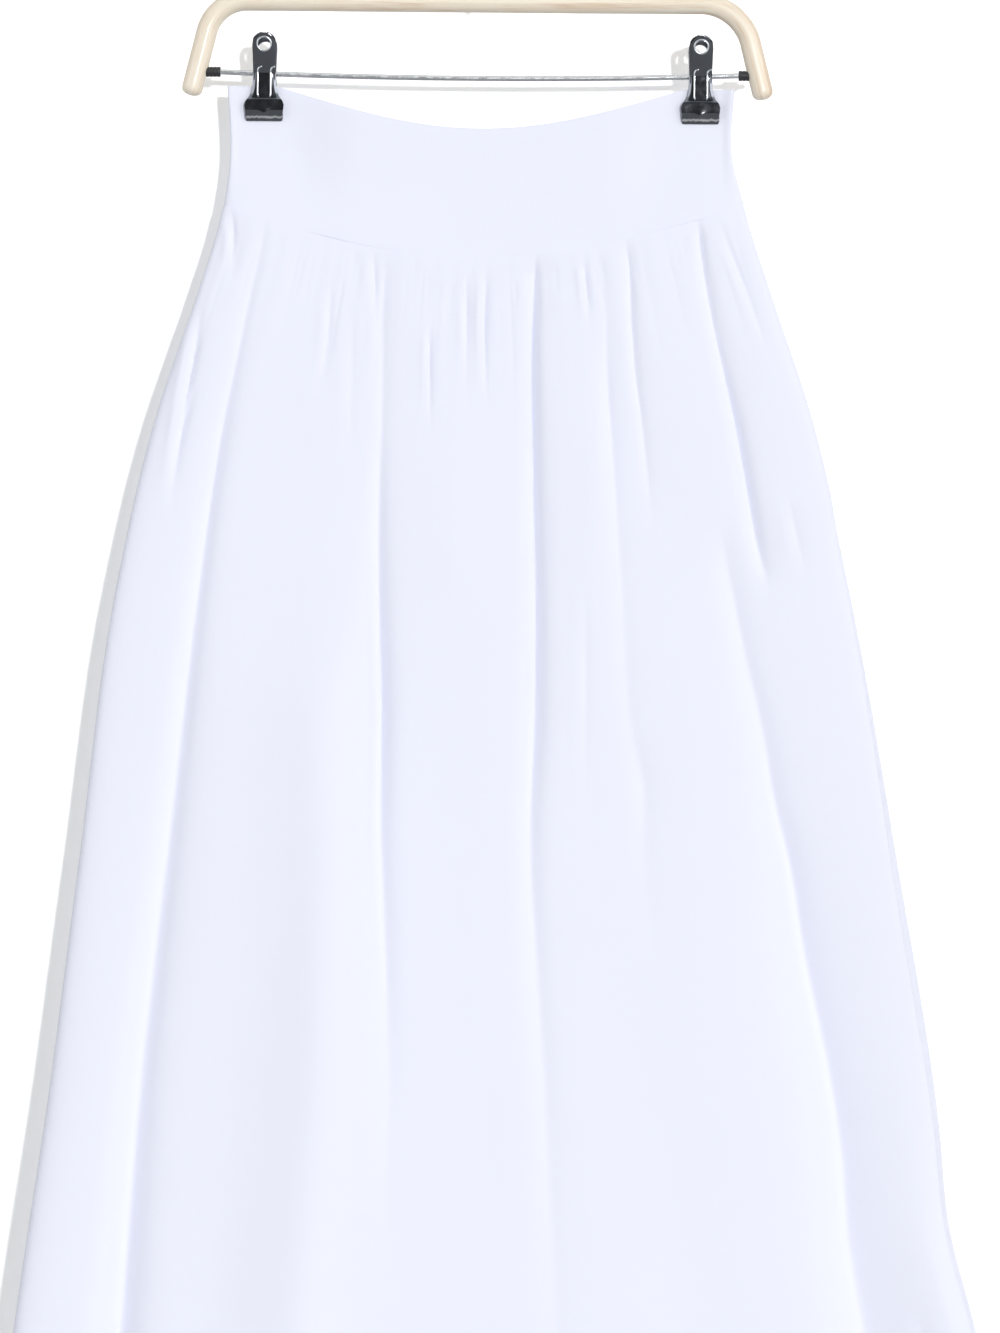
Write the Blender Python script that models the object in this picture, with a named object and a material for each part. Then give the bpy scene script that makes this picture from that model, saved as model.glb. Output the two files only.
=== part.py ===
"""A gathered maxi skirt with a basque yoke, hanging by two clips from a bentwood skirt hanger.

Units are metres, and +Z is up. The skirt's front faces -Y. The origin is the inner top of the
hanger's hook, the point that a rail carries. Run with: blender --background --python part.py
"""

import math
from collections import namedtuple

import bmesh
import bpy
import numpy as np
from mathutils import Matrix

# Fits
GAP = 0.0003                 # between pieces that are sewn together or touch

# Hook: an S of round wire, with its inner top at the origin
HOOK_INNER_RADIUS = 0.018
HOOK_WIRE_RADIUS = 0.002
HOOK_TIP_ANGLE = 205         # degrees round the hook from +X, through the top, to its open tip
HOOK_NECK_ANGLE = -60        # where the round hook turns back into its neck
HOOK_BORE_DEPTH = 0.009      # how deep the stem stands in the frame
HOOK_TIP_TAPER = 0.75
HOOK_STEPS = 20
HOOK_NECK_STEPS = 6

# The whole hanger hangs a little aslant, turned about the origin with its right end lower
HANGER_TILT = math.radians(0.45)

# Frame: one round stick, bent down at both ends, the left more sharply
FRAME_DROP = 0.0792          # from the origin to the middle of the straight top
FRAME_RADIUS = 0.0076
LEG_LEAN = math.radians(14)
LEG_TIP_BELOW_ROD = 0.017
Leg = namedtuple("Leg", "side tip_across bend_radius")
LEFT_LEG = Leg(-1, 0.2105, 0.030)
RIGHT_LEG = Leg(1, 0.2075, 0.038)
LEG_TIP_ROUNDING = ((0.0, 0.55), (0.0018, 0.88), (0.0055, 1.0))   # back from the tip, share of radius
FRAME_BEND_STEPS = 7

# Rod, bowed by the weight of the cloth, and its end caps
ROD_DROP = 0.1315            # from the origin to the axis of the rod's ends
ROD_BOW = 0.0033             # how far its middle sags below them
ROD_STEPS = 16
ROD_RADIUS = 0.0019
ROD_HALF_LENGTH = 0.2045
CAP_RADIUS = 0.0037
CAP_INNER_END = 0.1888
CAP_OUTER_END = 0.1995

# Clips
LEFT_CLIP_ACROSS = -0.1566   # from the middle to each clip, before the hanger is turned
RIGHT_CLIP_ACROSS = 0.1611
PLATE_THICKNESS = 0.001
PLATE_HOLE_RADIUS = 0.0048
PLATE_HOLE_HEIGHT = 0.0205
PLATE_HOLE_CUT = 0.010
PLATE_COLUMNS = 4
SPRING_RADIUS = 0.004
SPRING_HALF_LENGTH = 0.0055
WIRE_RADIUS = 0.0006
WIRE_ACROSS = 0.0047         # half the room between its two legs
WIRE_CLEARANCE = 0.0005      # from the plate that it lies on

# A clip plate, from its finger tab down to its jaw: the height above the rod's axis, half the
# width, and how far the plate's middle stands from the cloth's middle plane.
PlateRow = namedtuple("PlateRow", "height half_width stand_off")
PLATE = (
    PlateRow(0.0284, 0.0022, 0.0121),
    PlateRow(0.0273, 0.0050, 0.0118),
    PlateRow(0.0252, 0.0074, 0.0113),
    PlateRow(0.0215, 0.0084, 0.0105),
    PlateRow(0.0150, 0.0084, 0.0091),
    PlateRow(0.0085, 0.0082, 0.0076),
    PlateRow(0.0030, 0.0080, 0.0055),
    PlateRow(0.0000, 0.0080, 0.0048),
    PlateRow(-0.0060, 0.0083, 0.0048),
    PlateRow(-0.0130, 0.0091, 0.0051),
    PlateRow(-0.0180, 0.0112, 0.0052),
    PlateRow(-0.0205, 0.0134, 0.0053),
    PlateRow(-0.0290, 0.0136, 0.0051),
    PlateRow(-0.0328, 0.0136, 0.0037),
    PlateRow(-0.0346, 0.0128, 0.0027),
)

# Half of the spring's wire on a plate, from its turned-in tip down to the middle of the jaw
WirePoint = namedtuple("WirePoint", "across_share height")
WIRE = (
    WirePoint(0.42, 0.0042),
    WirePoint(0.80, 0.0034),
    WirePoint(1.00, 0.0014),
    WirePoint(1.00, -0.0040),
    WirePoint(1.00, -0.0100),
    WirePoint(1.00, -0.0155),
    WirePoint(0.80, -0.0182),
    WirePoint(0.30, -0.0190),
)

# Cloth
YOKE_THICKNESS = 0.0014
SKIRT_THICKNESS = 0.0012
CLOTH_TOP_DROP = 0.142       # from the origin to the yoke's top edge at the clips
YOKE_DEPTH = 0.087           # from the top edge to the yoke seam, at the sides
SKIRT_DROP = 0.913           # from the yoke seam to the hem, at the sides
TOP_SAG = 0.030              # how far the top edge droops between the clips
TOP_SAG_REACH = 0.80         # share of the half width where that droop ends, at the clips
TOP_TILT = 0.0014            # how much lower its right end hangs, and higher its left end
SEAM_SAG = 0.038
HEM_SAG = 0.030
PINCH_ACROSS = 0.159         # from the middle to where the clips grip the yokes
PINCH_DEPTH = 0.0010         # half the room between the two yokes there
PINCH_HALF_WIDTH = 0.0160
PINCH_RAMP = 0.055           # how far towards the middle the yokes part again
PINCH_RAMP_OUTSIDE = 0.012   # and towards the side seam
PINCH_DROP = 0.030

# The flattened tube that the cloth hangs in. Drop is below the top edge, at the sides, and
# squareness is the power of the oval section: 2 is an ellipse, and more is boxier.
Section = namedtuple("Section", "drop half_left half_right half_depth squareness")
SECTIONS = (
    Section(0.000, 0.184, 0.184, 0.0065, 6.0),
    Section(0.047, 0.182, 0.182, 0.0085, 6.0),
    Section(0.087, 0.187, 0.191, 0.0130, 6.5),
    Section(0.156, 0.207, 0.212, 0.018, 7.5),
    Section(0.236, 0.234, 0.238, 0.022, 9.0),
    Section(0.367, 0.2645, 0.268, 0.027, 10.0),
    Section(0.564, 0.2905, 0.303, 0.032, 11.0),
    Section(0.761, 0.316, 0.334, 0.036, 11.0),
    Section(0.825, 0.326, 0.340, 0.037, 11.0),
    Section(0.906, 0.338, 0.360, 0.038, 11.0),
    Section(1.000, 0.352, 0.378, 0.040, 11.0),
)

# Long soft folds. Start and end are drops below the yoke seam. High, middle and low are the places
# across, from -1 at the left side seam to 1 at the right, at the start, halfway and at the end.
# Depth is how far the fold goes in, or out if negative, and left and right are its flanks' widths.
Fold = namedtuple("Fold", "start end high middle low depth left right")
FRONT_FOLDS = (
    Fold(0.00, 1.00, -0.83, -0.782, -0.76, 0.006, 0.014, 0.022),
    Fold(0.01, 0.80, -0.345, -0.250, -0.21, 0.007, 0.020, 0.012),
    Fold(0.24, 1.00, -0.39, -0.384, -0.388, -0.007, 0.034, 0.034),
    Fold(0.00, 0.90, 0.205, 0.145, 0.16, 0.008, 0.014, 0.014),
    Fold(0.06, 0.56, 0.44, 0.40, 0.41, 0.004, 0.012, 0.016),
    Fold(0.00, 0.22, 0.565, 0.52, 0.505, 0.005, 0.010, 0.014),
    Fold(0.00, 0.34, 0.84, 0.795, 0.81, 0.007, 0.012, 0.014),
    Fold(0.22, 1.00, 0.70, 0.785, 0.79, 0.009, 0.016, 0.060),
    Fold(0.05, 0.24, -0.95, -0.90, -0.88, 0.004, 0.010, 0.012),
    Fold(0.64, 1.00, 0.84, 0.85, 0.875, 0.007, 0.034, 0.034),
    Fold(0.56, 1.00, 0.39, 0.42, 0.44, 0.0035, 0.034, 0.034),
    Fold(0.50, 1.00, 0.03, 0.05, 0.04, -0.0035, 0.034, 0.034),
    Fold(0.50, 1.00, -0.56, -0.57, -0.56, 0.0035, 0.030, 0.030),
)
BACK_FOLDS = (
    Fold(0.00, 1.00, -0.80, -0.77, -0.72, 0.008, 0.014, 0.020),
    Fold(0.00, 0.70, -0.55, -0.505, -0.52, 0.006, 0.014, 0.012),
    Fold(0.12, 1.00, -0.34, -0.28, -0.26, 0.008, 0.012, 0.022),
    Fold(0.00, 0.45, -0.12, -0.10, -0.06, 0.005, 0.012, 0.014),
    Fold(0.02, 1.00, 0.10, 0.09, 0.12, 0.008, 0.020, 0.014),
    Fold(0.00, 0.30, 0.36, 0.33, 0.33, 0.005, 0.010, 0.014),
    Fold(0.10, 1.00, 0.47, 0.46, 0.50, 0.007, 0.022, 0.014),
    Fold(0.00, 1.00, 0.82, 0.79, 0.80, 0.008, 0.014, 0.020),
    Fold(0.40, 1.00, -0.10, -0.10, -0.08, -0.005, 0.024, 0.030),
    Fold(0.35, 1.00, 0.28, 0.28, 0.30, -0.004, 0.030, 0.030),
    Fold(0.45, 1.00, 0.64, 0.64, 0.66, -0.004, 0.026, 0.026),
    Fold(0.40, 1.00, -0.52, -0.52, -0.54, 0.004, 0.034, 0.034),
)
FOLD_RISE = 0.07             # the drop over which a fold sets in
FOLD_FADE = 0.22             # and over which it dies away
FOLD_DEEPENING = 0.5         # how much deeper than its depth a fold grows by the hem
CREASE_ROUNDNESS = 0.4       # of a fold's bottom, as a share of its flank

# Gathers, close under the yoke seam
GATHERS = 30                 # on each panel
GATHER_HEIGHT = 0.0010
GATHER_HEIGHT_AT_SEAM = 0.0004
GATHER_SWELL = 0.014         # the drop over which they swell out of the seam
GATHER_REACH = 0.085         # how far down they reach before they fade
GATHER_REACH_SPREAD = 0.035
GATHER_REACH_WAVES = 7       # times that reach varies across a panel

# The gathers' uneven spacing: two waves, in shares of the panel's width
Drift = namedtuple("Drift", "size waves phase")
GATHER_DRIFTS = (Drift(0.0040, 5, 0.7), Drift(0.0025, 11, 0.0))
SIDE_CALM = 0.035            # share of a panel at each side seam that folds and gathers leave plain

# Mesh of the cloth
COLUMNS_PER_GATHER = 4
YOKE_COLUMNS = 40
YOKE_ROWS = (0.0, 0.17, 0.34, 0.55, 0.78, 1.0)
GATHERED_DROPS = (0.0, 0.010, 0.030, 0.062, 0.105, 0.155)
LOWER_ROWS = 10
OVAL_STEPS = 3001
OVAL_FLATNESS = 0.12         # depth over width in the spacing of the columns
STEP_ALONG = 2e-4
LONGEST_MITRE = 1.4
SHARP_EDGE = math.radians(50)
ROUND_SIDES = 20

FRONT, BACK = -1, 1
Z_TO_X = Matrix.Rotation(math.pi / 2, 3, "Y")
X_TO_Y = Matrix.Rotation(math.pi / 2, 3, "Z")


# Materials

def material(name, colour, roughness, metallic=0.0):
    made = bpy.data.materials.new(name)
    made.use_nodes = True
    shader = made.node_tree.nodes["Principled BSDF"]
    shader.inputs["Base Color"].default_value = (*colour, 1.0)
    shader.inputs["Roughness"].default_value = roughness
    shader.inputs["Metallic"].default_value = metallic
    return made


# Small shape helpers

def smoothstep(value):
    clipped = np.clip(value, 0.0, 1.0)
    return clipped * clipped * (3 - 2 * clipped)


def smooth_lookup(at, places, values):
    """A smooth curve through the values at those places, without overshoot at the ends."""
    places, values = np.asarray(places, float), np.asarray(values, float)
    slopes = np.gradient(values, places)
    i = np.clip(np.searchsorted(places, at, side="right") - 1, 0, len(places) - 2)
    span = places[i + 1] - places[i]
    p = np.clip((at - places[i]) / span, 0.0, 1.0)
    return (
        (2 * p**3 - 3 * p**2 + 1) * values[i]
        + (p**3 - 2 * p**2 + p) * span * slopes[i]
        + (3 * p**2 - 2 * p**3) * values[i + 1]
        + (p**3 - p**2) * span * slopes[i + 1]
    )


def section_at(drop):
    """The flattened tube's section at a drop below the yoke's top edge."""
    columns = list(zip(*SECTIONS))
    return Section(drop, *(float(smooth_lookup(drop, columns[0], c)) for c in columns[1:]))


def oval(share, squareness):
    """The point that share of the way round half an oval: across from -1 to 1, and out from 0 to 1."""
    angle = np.linspace(0, math.pi, OVAL_STEPS)
    across = -np.sign(np.cos(angle)) * np.abs(np.cos(angle)) ** (2 / squareness)
    out = np.clip(np.sin(angle), 0, 1) ** (2 / squareness)
    steps = np.hypot(np.diff(across), OVAL_FLATNESS * np.diff(out))
    run = np.concatenate([[0.0], np.cumsum(steps)])
    run /= run[-1]
    return np.interp(share, run, across), np.interp(share, run, out)


def squared(along, side):
    """Unit vectors, level and square to level steps from left to right, that point out of the tube."""
    square = side * np.stack([-along[:, 1], along[:, 0]], axis=1)
    return square / np.linalg.norm(square, axis=1, keepdims=True)


def outward(curve, share, side):
    """The directions out of the tube, along a level curve."""
    before = curve(np.clip(share - STEP_ALONG, 0, 1))
    after = curve(np.clip(share + STEP_ALONG, 0, 1))
    return squared(after - before, side)


def wall_directions(level, side):
    """Level directions in which a wall of one thickness lies about a row of points.

    They are mitred at each point. At the two side seams they point straight sideways, so that the
    ends of the front and the back wall face each other.
    """
    spans = squared(np.diff(level, axis=0), side)
    mitred = spans[:-1] + spans[1:]
    mitred /= np.linalg.norm(mitred, axis=1, keepdims=True)
    mitred *= np.minimum(1 / np.sum(mitred * spans[1:], axis=1), LONGEST_MITRE)[:, None]
    inner = np.column_stack([mitred, np.zeros(len(mitred))])
    return np.vstack([[-1.0, 0.0, 0.0], inner, [1.0, 0.0, 0.0]])


def link(name, mesh, look):
    made = bpy.data.objects.new(name, mesh)
    bpy.context.scene.collection.objects.link(made)
    mesh.materials.clear()
    mesh.materials.append(look)
    return made


def finished_mesh(name, points, faces):
    """A mesh whose faces point outwards."""
    mesh = bpy.data.meshes.new(name)
    mesh.from_pydata([tuple(p) for p in points], [], faces)
    shell = bmesh.new()
    shell.from_mesh(mesh)
    bmesh.ops.recalc_face_normals(shell, faces=shell.faces)
    shell.to_mesh(mesh)
    shell.free()
    mesh.update()
    return mesh


def row_faces(upper, lower):
    """Faces between two rows of point numbers, the lower as long as the upper or with half its spans."""
    faces = []
    if len(upper) == len(lower):
        for i in range(len(upper) - 1):
            faces.append((upper[i], upper[i + 1], lower[i + 1]))
            faces.append((upper[i], lower[i + 1], lower[i]))
        return faces
    for i in range(len(lower) - 1):
        first, between, last = upper[2 * i], upper[2 * i + 1], upper[2 * i + 2]
        faces.append((first, between, lower[i]))
        faces.append((between, lower[i + 1], lower[i]))
        faces.append((between, last, lower[i + 1]))
    return faces


def wall(name, rows, normals, thickness, look):
    """A closed wall of a thickness round a mid surface, given as rows of points from the top down."""
    points, outer, inner = [], [], []
    for row, row_normals in zip(rows, normals):
        for kept, sign in ((outer, 1), (inner, -1)):
            first = len(points)
            points.extend(row + sign * row_normals * thickness / 2)
            kept.append(list(range(first, first + len(row))))
    faces = []
    for i in range(len(rows) - 1):
        faces.extend(row_faces(outer[i], outer[i + 1]))
        faces.extend(tuple(reversed(f)) for f in row_faces(inner[i], inner[i + 1]))
        for end in (0, -1):
            faces.append((outer[i][end], outer[i + 1][end], inner[i + 1][end], inner[i][end]))
    for edge in (0, -1):
        for j in range(len(rows[edge]) - 1):
            faces.append(
                (outer[edge][j], outer[edge][j + 1], inner[edge][j + 1], inner[edge][j])
            )
    made = link(name, finished_mesh(name, points, faces), look)
    made.data.shade_smooth()
    made.data.set_sharp_from_angle(angle=SHARP_EDGE)
    return made


# Cloth

def sag(across, drop):
    """How far the cloth droops below its sides, at a place across and a drop below the top edge."""
    top = TOP_SAG * np.cos(np.clip(np.abs(across) / TOP_SAG_REACH, 0, 1) * math.pi / 2)
    top = top + TOP_TILT * across
    seam = SEAM_SAG * np.cos(across * math.pi / 2)
    hem = HEM_SAG * np.cos(across * math.pi / 2)
    if drop <= YOKE_DEPTH:
        share = drop / YOKE_DEPTH
        return top * (1 - share) + seam * share
    share = (drop - YOKE_DEPTH) / SKIRT_DROP
    return seam * (1 - share) + hem * share


def tube_curve(side, drop):
    """The level curve of the plain tube at a drop, as a function of the share from left to right."""
    section = section_at(drop)

    def curve(share):
        across, out = oval(share, section.squareness)
        x = np.where(across < 0, section.half_left, section.half_right) * across
        past_clip = np.abs(x) - PINCH_ACROSS
        ramp = np.where(past_clip < 0, PINCH_RAMP, PINCH_RAMP_OUTSIDE)
        gripped = 1 - smoothstep((np.abs(past_clip) - PINCH_HALF_WIDTH) / ramp)
        gripped *= 1 - smoothstep((drop - PINCH_DROP) / (YOKE_DEPTH - PINCH_DROP))
        depth = section.half_depth + (PINCH_DEPTH - section.half_depth) * gripped
        return np.stack([x, side * (GAP / 2 + out * depth)], axis=1)

    return curve, section


def lifted(level, section, share, drop, shift):
    """Points of a level curve at their height, drooping between the sides."""
    across, _ = oval(share, section.squareness)
    z = -CLOTH_TOP_DROP - drop - sag(across, drop) + shift
    return np.column_stack([level, z])


def make_yoke(name, side, look):
    share = np.linspace(0, 1, YOKE_COLUMNS + 1)
    rows, normals = [], []
    for part in YOKE_ROWS:
        drop = part * YOKE_DEPTH
        curve, section = tube_curve(side, drop)
        shift = GAP / 2 if part == YOKE_ROWS[-1] else 0.0
        level = curve(share)
        rows.append(lifted(level, section, share, drop, shift))
        normals.append(wall_directions(level, side))
    return wall(name, rows, normals, YOKE_THICKNESS, look)


def uneven(gather):
    """Spaces the gathers unevenly: a regular count from 0 to 1 to a share of the panel's width."""
    share = np.array(gather, float)
    for drift in GATHER_DRIFTS:
        swing = np.sin(2 * math.pi * drift.waves * gather + drift.phase) - math.sin(drift.phase)
        share += drift.size * swing
    return share


def gather_swell(gather, drop):
    """How far the gathers stand out or in at a place along the seam and a drop below it."""
    height = GATHER_HEIGHT_AT_SEAM + (GATHER_HEIGHT - GATHER_HEIGHT_AT_SEAM) * smoothstep(
        drop / GATHER_SWELL
    )
    reach = GATHER_REACH + GATHER_REACH_SPREAD * np.sin(2 * math.pi * GATHER_REACH_WAVES * gather + 1)
    return height * np.exp(-((drop / reach) ** 2)) * np.cos(2 * math.pi * GATHERS * gather)


def fold_push(folds, across, section, drop):
    """How far the long folds push the cloth out at places across and a drop below the yoke seam."""
    push = np.zeros_like(across)
    half_width = np.where(across < 0, section.half_left, section.half_right)
    for fold in folds:
        part = np.clip((drop - fold.start) / (fold.end - fold.start), 0, 1)
        bend = fold.high + fold.low - 2 * fold.middle
        place = fold.high + (fold.low - fold.high) * part - 2 * bend * part * (1 - part)
        away = (across - place) * half_width
        flank = np.where(away < 0, fold.left, fold.right)
        crease = np.exp(CREASE_ROUNDNESS - np.hypot(away / flank, CREASE_ROUNDNESS))
        strength = smoothstep((drop - fold.start) / FOLD_RISE)
        strength *= 1 + FOLD_DEEPENING * (drop / SKIRT_DROP) ** 2
        if fold.end < SKIRT_DROP:
            strength *= 1 - smoothstep((drop - fold.end + FOLD_FADE) / FOLD_FADE)
        push -= fold.depth * strength * crease
    return push


def skirt_curve(side, folds, drop):
    """The level curve of a gathered panel at a drop below the yoke seam, and its section."""
    plain, section = tube_curve(side, YOKE_DEPTH + drop)
    counts = np.linspace(0, 1, OVAL_STEPS)
    shares = uneven(counts)

    def curve(share):
        across, _ = oval(share, section.squareness)
        gather = np.interp(share, shares, counts)
        calm = smoothstep(share / SIDE_CALM) * smoothstep((1 - share) / SIDE_CALM)
        push = gather_swell(gather, drop) + fold_push(folds, across, section, drop)
        return plain(share) + outward(plain, share, side) * (push * calm)[:, None]

    return curve, section


def make_skirt_panel(name, side, folds, look):
    """A gathered panel: close columns under the seam, and half as many below the gathers."""
    close = uneven(np.linspace(0, 1, GATHERS * COLUMNS_PER_GATHER + 1))
    lower = np.linspace(GATHERED_DROPS[-1], SKIRT_DROP, LOWER_ROWS + 1)[1:]
    rows, normals = [], []
    for drop in (*GATHERED_DROPS, *lower):
        share = close if drop <= GATHERED_DROPS[-1] else close[::2]
        curve, section = skirt_curve(side, folds, drop)
        shift = -GAP / 2 if drop == 0 else 0.0
        level = curve(share)
        rows.append(lifted(level, section, share, YOKE_DEPTH + drop, shift))
        normals.append(wall_directions(level, side))
    return wall(name, rows, normals, SKIRT_THICKNESS, look)


# Hanger

def arc(centre, radius, first, last, steps):
    """Points in the XZ plane round a centre, from one angle in degrees to another."""
    angles = np.radians(np.linspace(first, last, steps + 1))
    return [(centre[0] + radius * math.cos(a), centre[1] + radius * math.sin(a)) for a in angles]


def tube(name, path, radius, look, resolution, tip_radii=()):
    """A round bar along points, with flat ends. Tip radii are shares of its radius, from each end in."""
    data = bpy.data.curves.new(name, "CURVE")
    data.dimensions = "3D"
    data.bevel_depth = radius
    data.bevel_resolution = resolution
    data.use_fill_caps = True
    spline = data.splines.new("POLY")
    spline.points.add(len(path) - 1)
    for point, place in zip(spline.points, path):
        point.co = (*place, 1.0)
    for i, share in enumerate(tip_radii):
        spline.points[i].radius = share
        spline.points[-1 - i].radius = share
    holder = bpy.data.objects.new(name + "_path", data)
    bpy.context.scene.collection.objects.link(holder)
    bpy.context.view_layer.update()
    mesh = bpy.data.meshes.new_from_object(holder.evaluated_get(bpy.context.evaluated_depsgraph_get()))
    bpy.data.objects.remove(holder)
    shell = bmesh.new()
    shell.from_mesh(mesh)
    bmesh.ops.remove_doubles(shell, verts=shell.verts, dist=1e-6)
    bmesh.ops.recalc_face_normals(shell, faces=shell.faces)
    shell.to_mesh(mesh)
    shell.free()
    made = link(name, mesh, look)
    mesh.shade_smooth()
    mesh.set_sharp_from_angle(angle=SHARP_EDGE)
    return made


def cylinder_mesh(name, radius, length, sides):
    """A closed cylinder along X, with its middle at the origin."""
    mesh = bpy.data.meshes.new(name)
    shape = bmesh.new()
    bmesh.ops.create_cone(
        shape, cap_ends=True, segments=sides, radius1=radius, radius2=radius, depth=length
    )
    bmesh.ops.rotate(shape, verts=shape.verts, cent=(0, 0, 0), matrix=Z_TO_X)
    shape.to_mesh(mesh)
    shape.free()
    return mesh


def ring_mesh(name, outer, inner, length, sides):
    """A round sleeve along X, with its middle at the origin."""
    corners = ((outer, -length / 2), (outer, length / 2), (inner, length / 2), (inner, -length / 2))
    points = [
        (x, radius * math.cos(2 * math.pi * k / sides), radius * math.sin(2 * math.pi * k / sides))
        for k in range(sides)
        for radius, x in corners
    ]
    faces = [
        tuple(4 * (k % sides) + c for k, c in ((i, j), (i, (j + 1) % 4), (i + 1, (j + 1) % 4), (i + 1, j)))
        for i in range(sides)
        for j in range(4)
    ]
    return finished_mesh(name, points, faces)


def cut(target, cutter_mesh, place):
    """Cuts a hole in an object with a closed mesh put at a place."""
    cutter = bpy.data.objects.new(cutter_mesh.name, cutter_mesh)
    bpy.context.scene.collection.objects.link(cutter)
    cutter.location = place
    cutter.hide_render = True
    cutter.display_type = "WIRE"
    boolean = target.modifiers.new(cutter_mesh.name, "BOOLEAN")
    boolean.operation = "DIFFERENCE"
    boolean.solver = "EXACT"
    boolean.object = cutter


def make_hook(look):
    radius = HOOK_INNER_RADIUS + HOOK_WIRE_RADIUS
    centre = (0.0, -HOOK_INNER_RADIUS)
    neck = math.radians(-HOOK_NECK_ANGLE)
    back_radius = radius * math.cos(neck) / (1 - math.cos(neck))
    reach = radius + back_radius
    back_centre = (reach * math.cos(neck), centre[1] - reach * math.sin(neck))
    stem_end = -FRAME_DROP + FRAME_RADIUS - HOOK_BORE_DEPTH
    line = arc(centre, radius, HOOK_TIP_ANGLE, HOOK_NECK_ANGLE, HOOK_STEPS)
    line += arc(back_centre, back_radius, 180 + HOOK_NECK_ANGLE, 180, HOOK_NECK_STEPS)[1:]
    line.append((0.0, stem_end))
    path = [(x, 0.0, z) for x, z in line]
    return tube("hanger_hook", path, HOOK_WIRE_RADIUS, look, 2, (HOOK_TIP_TAPER,))


def leg_line(leg):
    """Half of the frame's middle line, from the start of its bend down the leg to its tip."""
    tip_z = -ROD_DROP - LEG_TIP_BELOW_ROD
    corner_x = leg.tip_across - math.tan(LEG_LEAN) * (-FRAME_DROP - tip_z)
    turn = math.pi / 2 - LEG_LEAN
    setback = leg.bend_radius * math.tan(turn / 2)
    bend_centre = (corner_x - setback, -FRAME_DROP - leg.bend_radius)
    bend = arc(bend_centre, leg.bend_radius, 90, 90 - math.degrees(turn), FRAME_BEND_STEPS)
    along = (math.sin(LEG_LEAN), -math.cos(LEG_LEAN))
    ends = [
        (leg.tip_across - along[0] * back, tip_z - along[1] * back)
        for back, share in reversed(LEG_TIP_ROUNDING)
    ]
    return [(leg.side * x, z) for x, z in [*bend, *ends]]


def make_frame(look):
    """The bent stick, with bores for the hook's stem, the rod and its caps."""
    left, right = leg_line(LEFT_LEG), leg_line(RIGHT_LEG)
    path = [(x, 0.0, z) for x, z in [*reversed(left), *right]]
    tip_radii = [share for back, share in LEG_TIP_ROUNDING]
    frame = tube("hanger_frame", path, FRAME_RADIUS, look, 4, tip_radii)
    stem = cylinder_mesh("stem_bore", HOOK_WIRE_RADIUS + GAP, 2 * (HOOK_BORE_DEPTH + GAP), ROUND_SIDES)
    stem.transform(Z_TO_X.to_4x4())
    cut(frame, stem, (0.0, 0.0, -FRAME_DROP + FRAME_RADIUS))
    bore_length = 2 * (ROD_HALF_LENGTH + GAP)
    rod_bore = cylinder_mesh("rod_bore", ROD_RADIUS + GAP, bore_length, ROUND_SIDES)
    cut(frame, rod_bore, (0.0, 0.0, -ROD_DROP))
    cap_length = 2 * (CAP_OUTER_END + GAP)
    cap_bore = cylinder_mesh("cap_bore", CAP_RADIUS + GAP, cap_length, ROUND_SIDES)
    cut(frame, cap_bore, (0.0, 0.0, -ROD_DROP))
    return frame


def rod_drop(across):
    """Drop of the rod's axis, a parabola between the caps and level in them."""
    return ROD_DROP + ROD_BOW * max(0.0, 1 - (across / CAP_INNER_END) ** 2)


def make_rod(look, cap_look):
    between = np.linspace(-CAP_INNER_END, CAP_INNER_END, ROD_STEPS + 1)
    stops = [-ROD_HALF_LENGTH, *between, ROD_HALF_LENGTH]
    path = [(x, 0.0, -rod_drop(x)) for x in stops]
    tube("hanger_rod", path, ROD_RADIUS, look, 3)
    length = CAP_OUTER_END - CAP_INNER_END
    for word, side in (("left", -1), ("right", 1)):
        name = f"rod_cap_{word}"
        cap = link(name, ring_mesh(name, CAP_RADIUS, ROD_RADIUS + GAP, length, ROUND_SIDES), cap_look)
        cap.location = (side * (CAP_INNER_END + CAP_OUTER_END) / 2, 0.0, -ROD_DROP)
        cap.data.shade_smooth()
        cap.data.set_sharp_from_angle(angle=SHARP_EDGE)


def plate_stand_off(height):
    columns = list(zip(*reversed(PLATE)))
    return float(np.interp(height, columns[0], columns[2]))


def make_plate(name, across, side, look):
    """One stamped plate of a clip, with the round hole in its finger tab."""
    heights = np.array([row.height for row in PLATE])
    stand_offs = np.array([row.stand_off for row in PLATE])
    slopes = np.gradient(stand_offs, heights)
    places = np.linspace(-1, 1, PLATE_COLUMNS + 1)
    rows, normals = [], []
    for row, slope in zip(PLATE, slopes):
        count = np.ones_like(places)
        rows.append(
            np.column_stack(
                [
                    across + places * row.half_width,
                    side * row.stand_off * count,
                    (row.height - rod_drop(across)) * count,
                ]
            )
        )
        steep = math.hypot(1, slope)
        normals.append(np.column_stack([0 * count, side * count / steep, -slope * count / steep]))
    plate = wall(name, rows, normals, PLATE_THICKNESS, look)
    hole = cylinder_mesh(name + "_hole", PLATE_HOLE_RADIUS, PLATE_HOLE_CUT, ROUND_SIDES)
    hole.transform(X_TO_Y.to_4x4())
    place = (across, side * plate_stand_off(PLATE_HOLE_HEIGHT), PLATE_HOLE_HEIGHT - rod_drop(across))
    cut(plate, hole, place)
    return plate


def make_wire(name, across, side, look):
    """The spring's wire on one plate: two legs, joined at the jaw, with their tips turned in."""
    stand = PLATE_THICKNESS / 2 + WIRE_RADIUS + WIRE_CLEARANCE
    line = [*WIRE, *((-x, h) for x, h in reversed(WIRE))]
    path = [
        (across + x * WIRE_ACROSS, side * (plate_stand_off(h) + stand), h - rod_drop(across))
        for x, h in line
    ]
    return tube(name, path, WIRE_RADIUS, look, 1)


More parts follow.
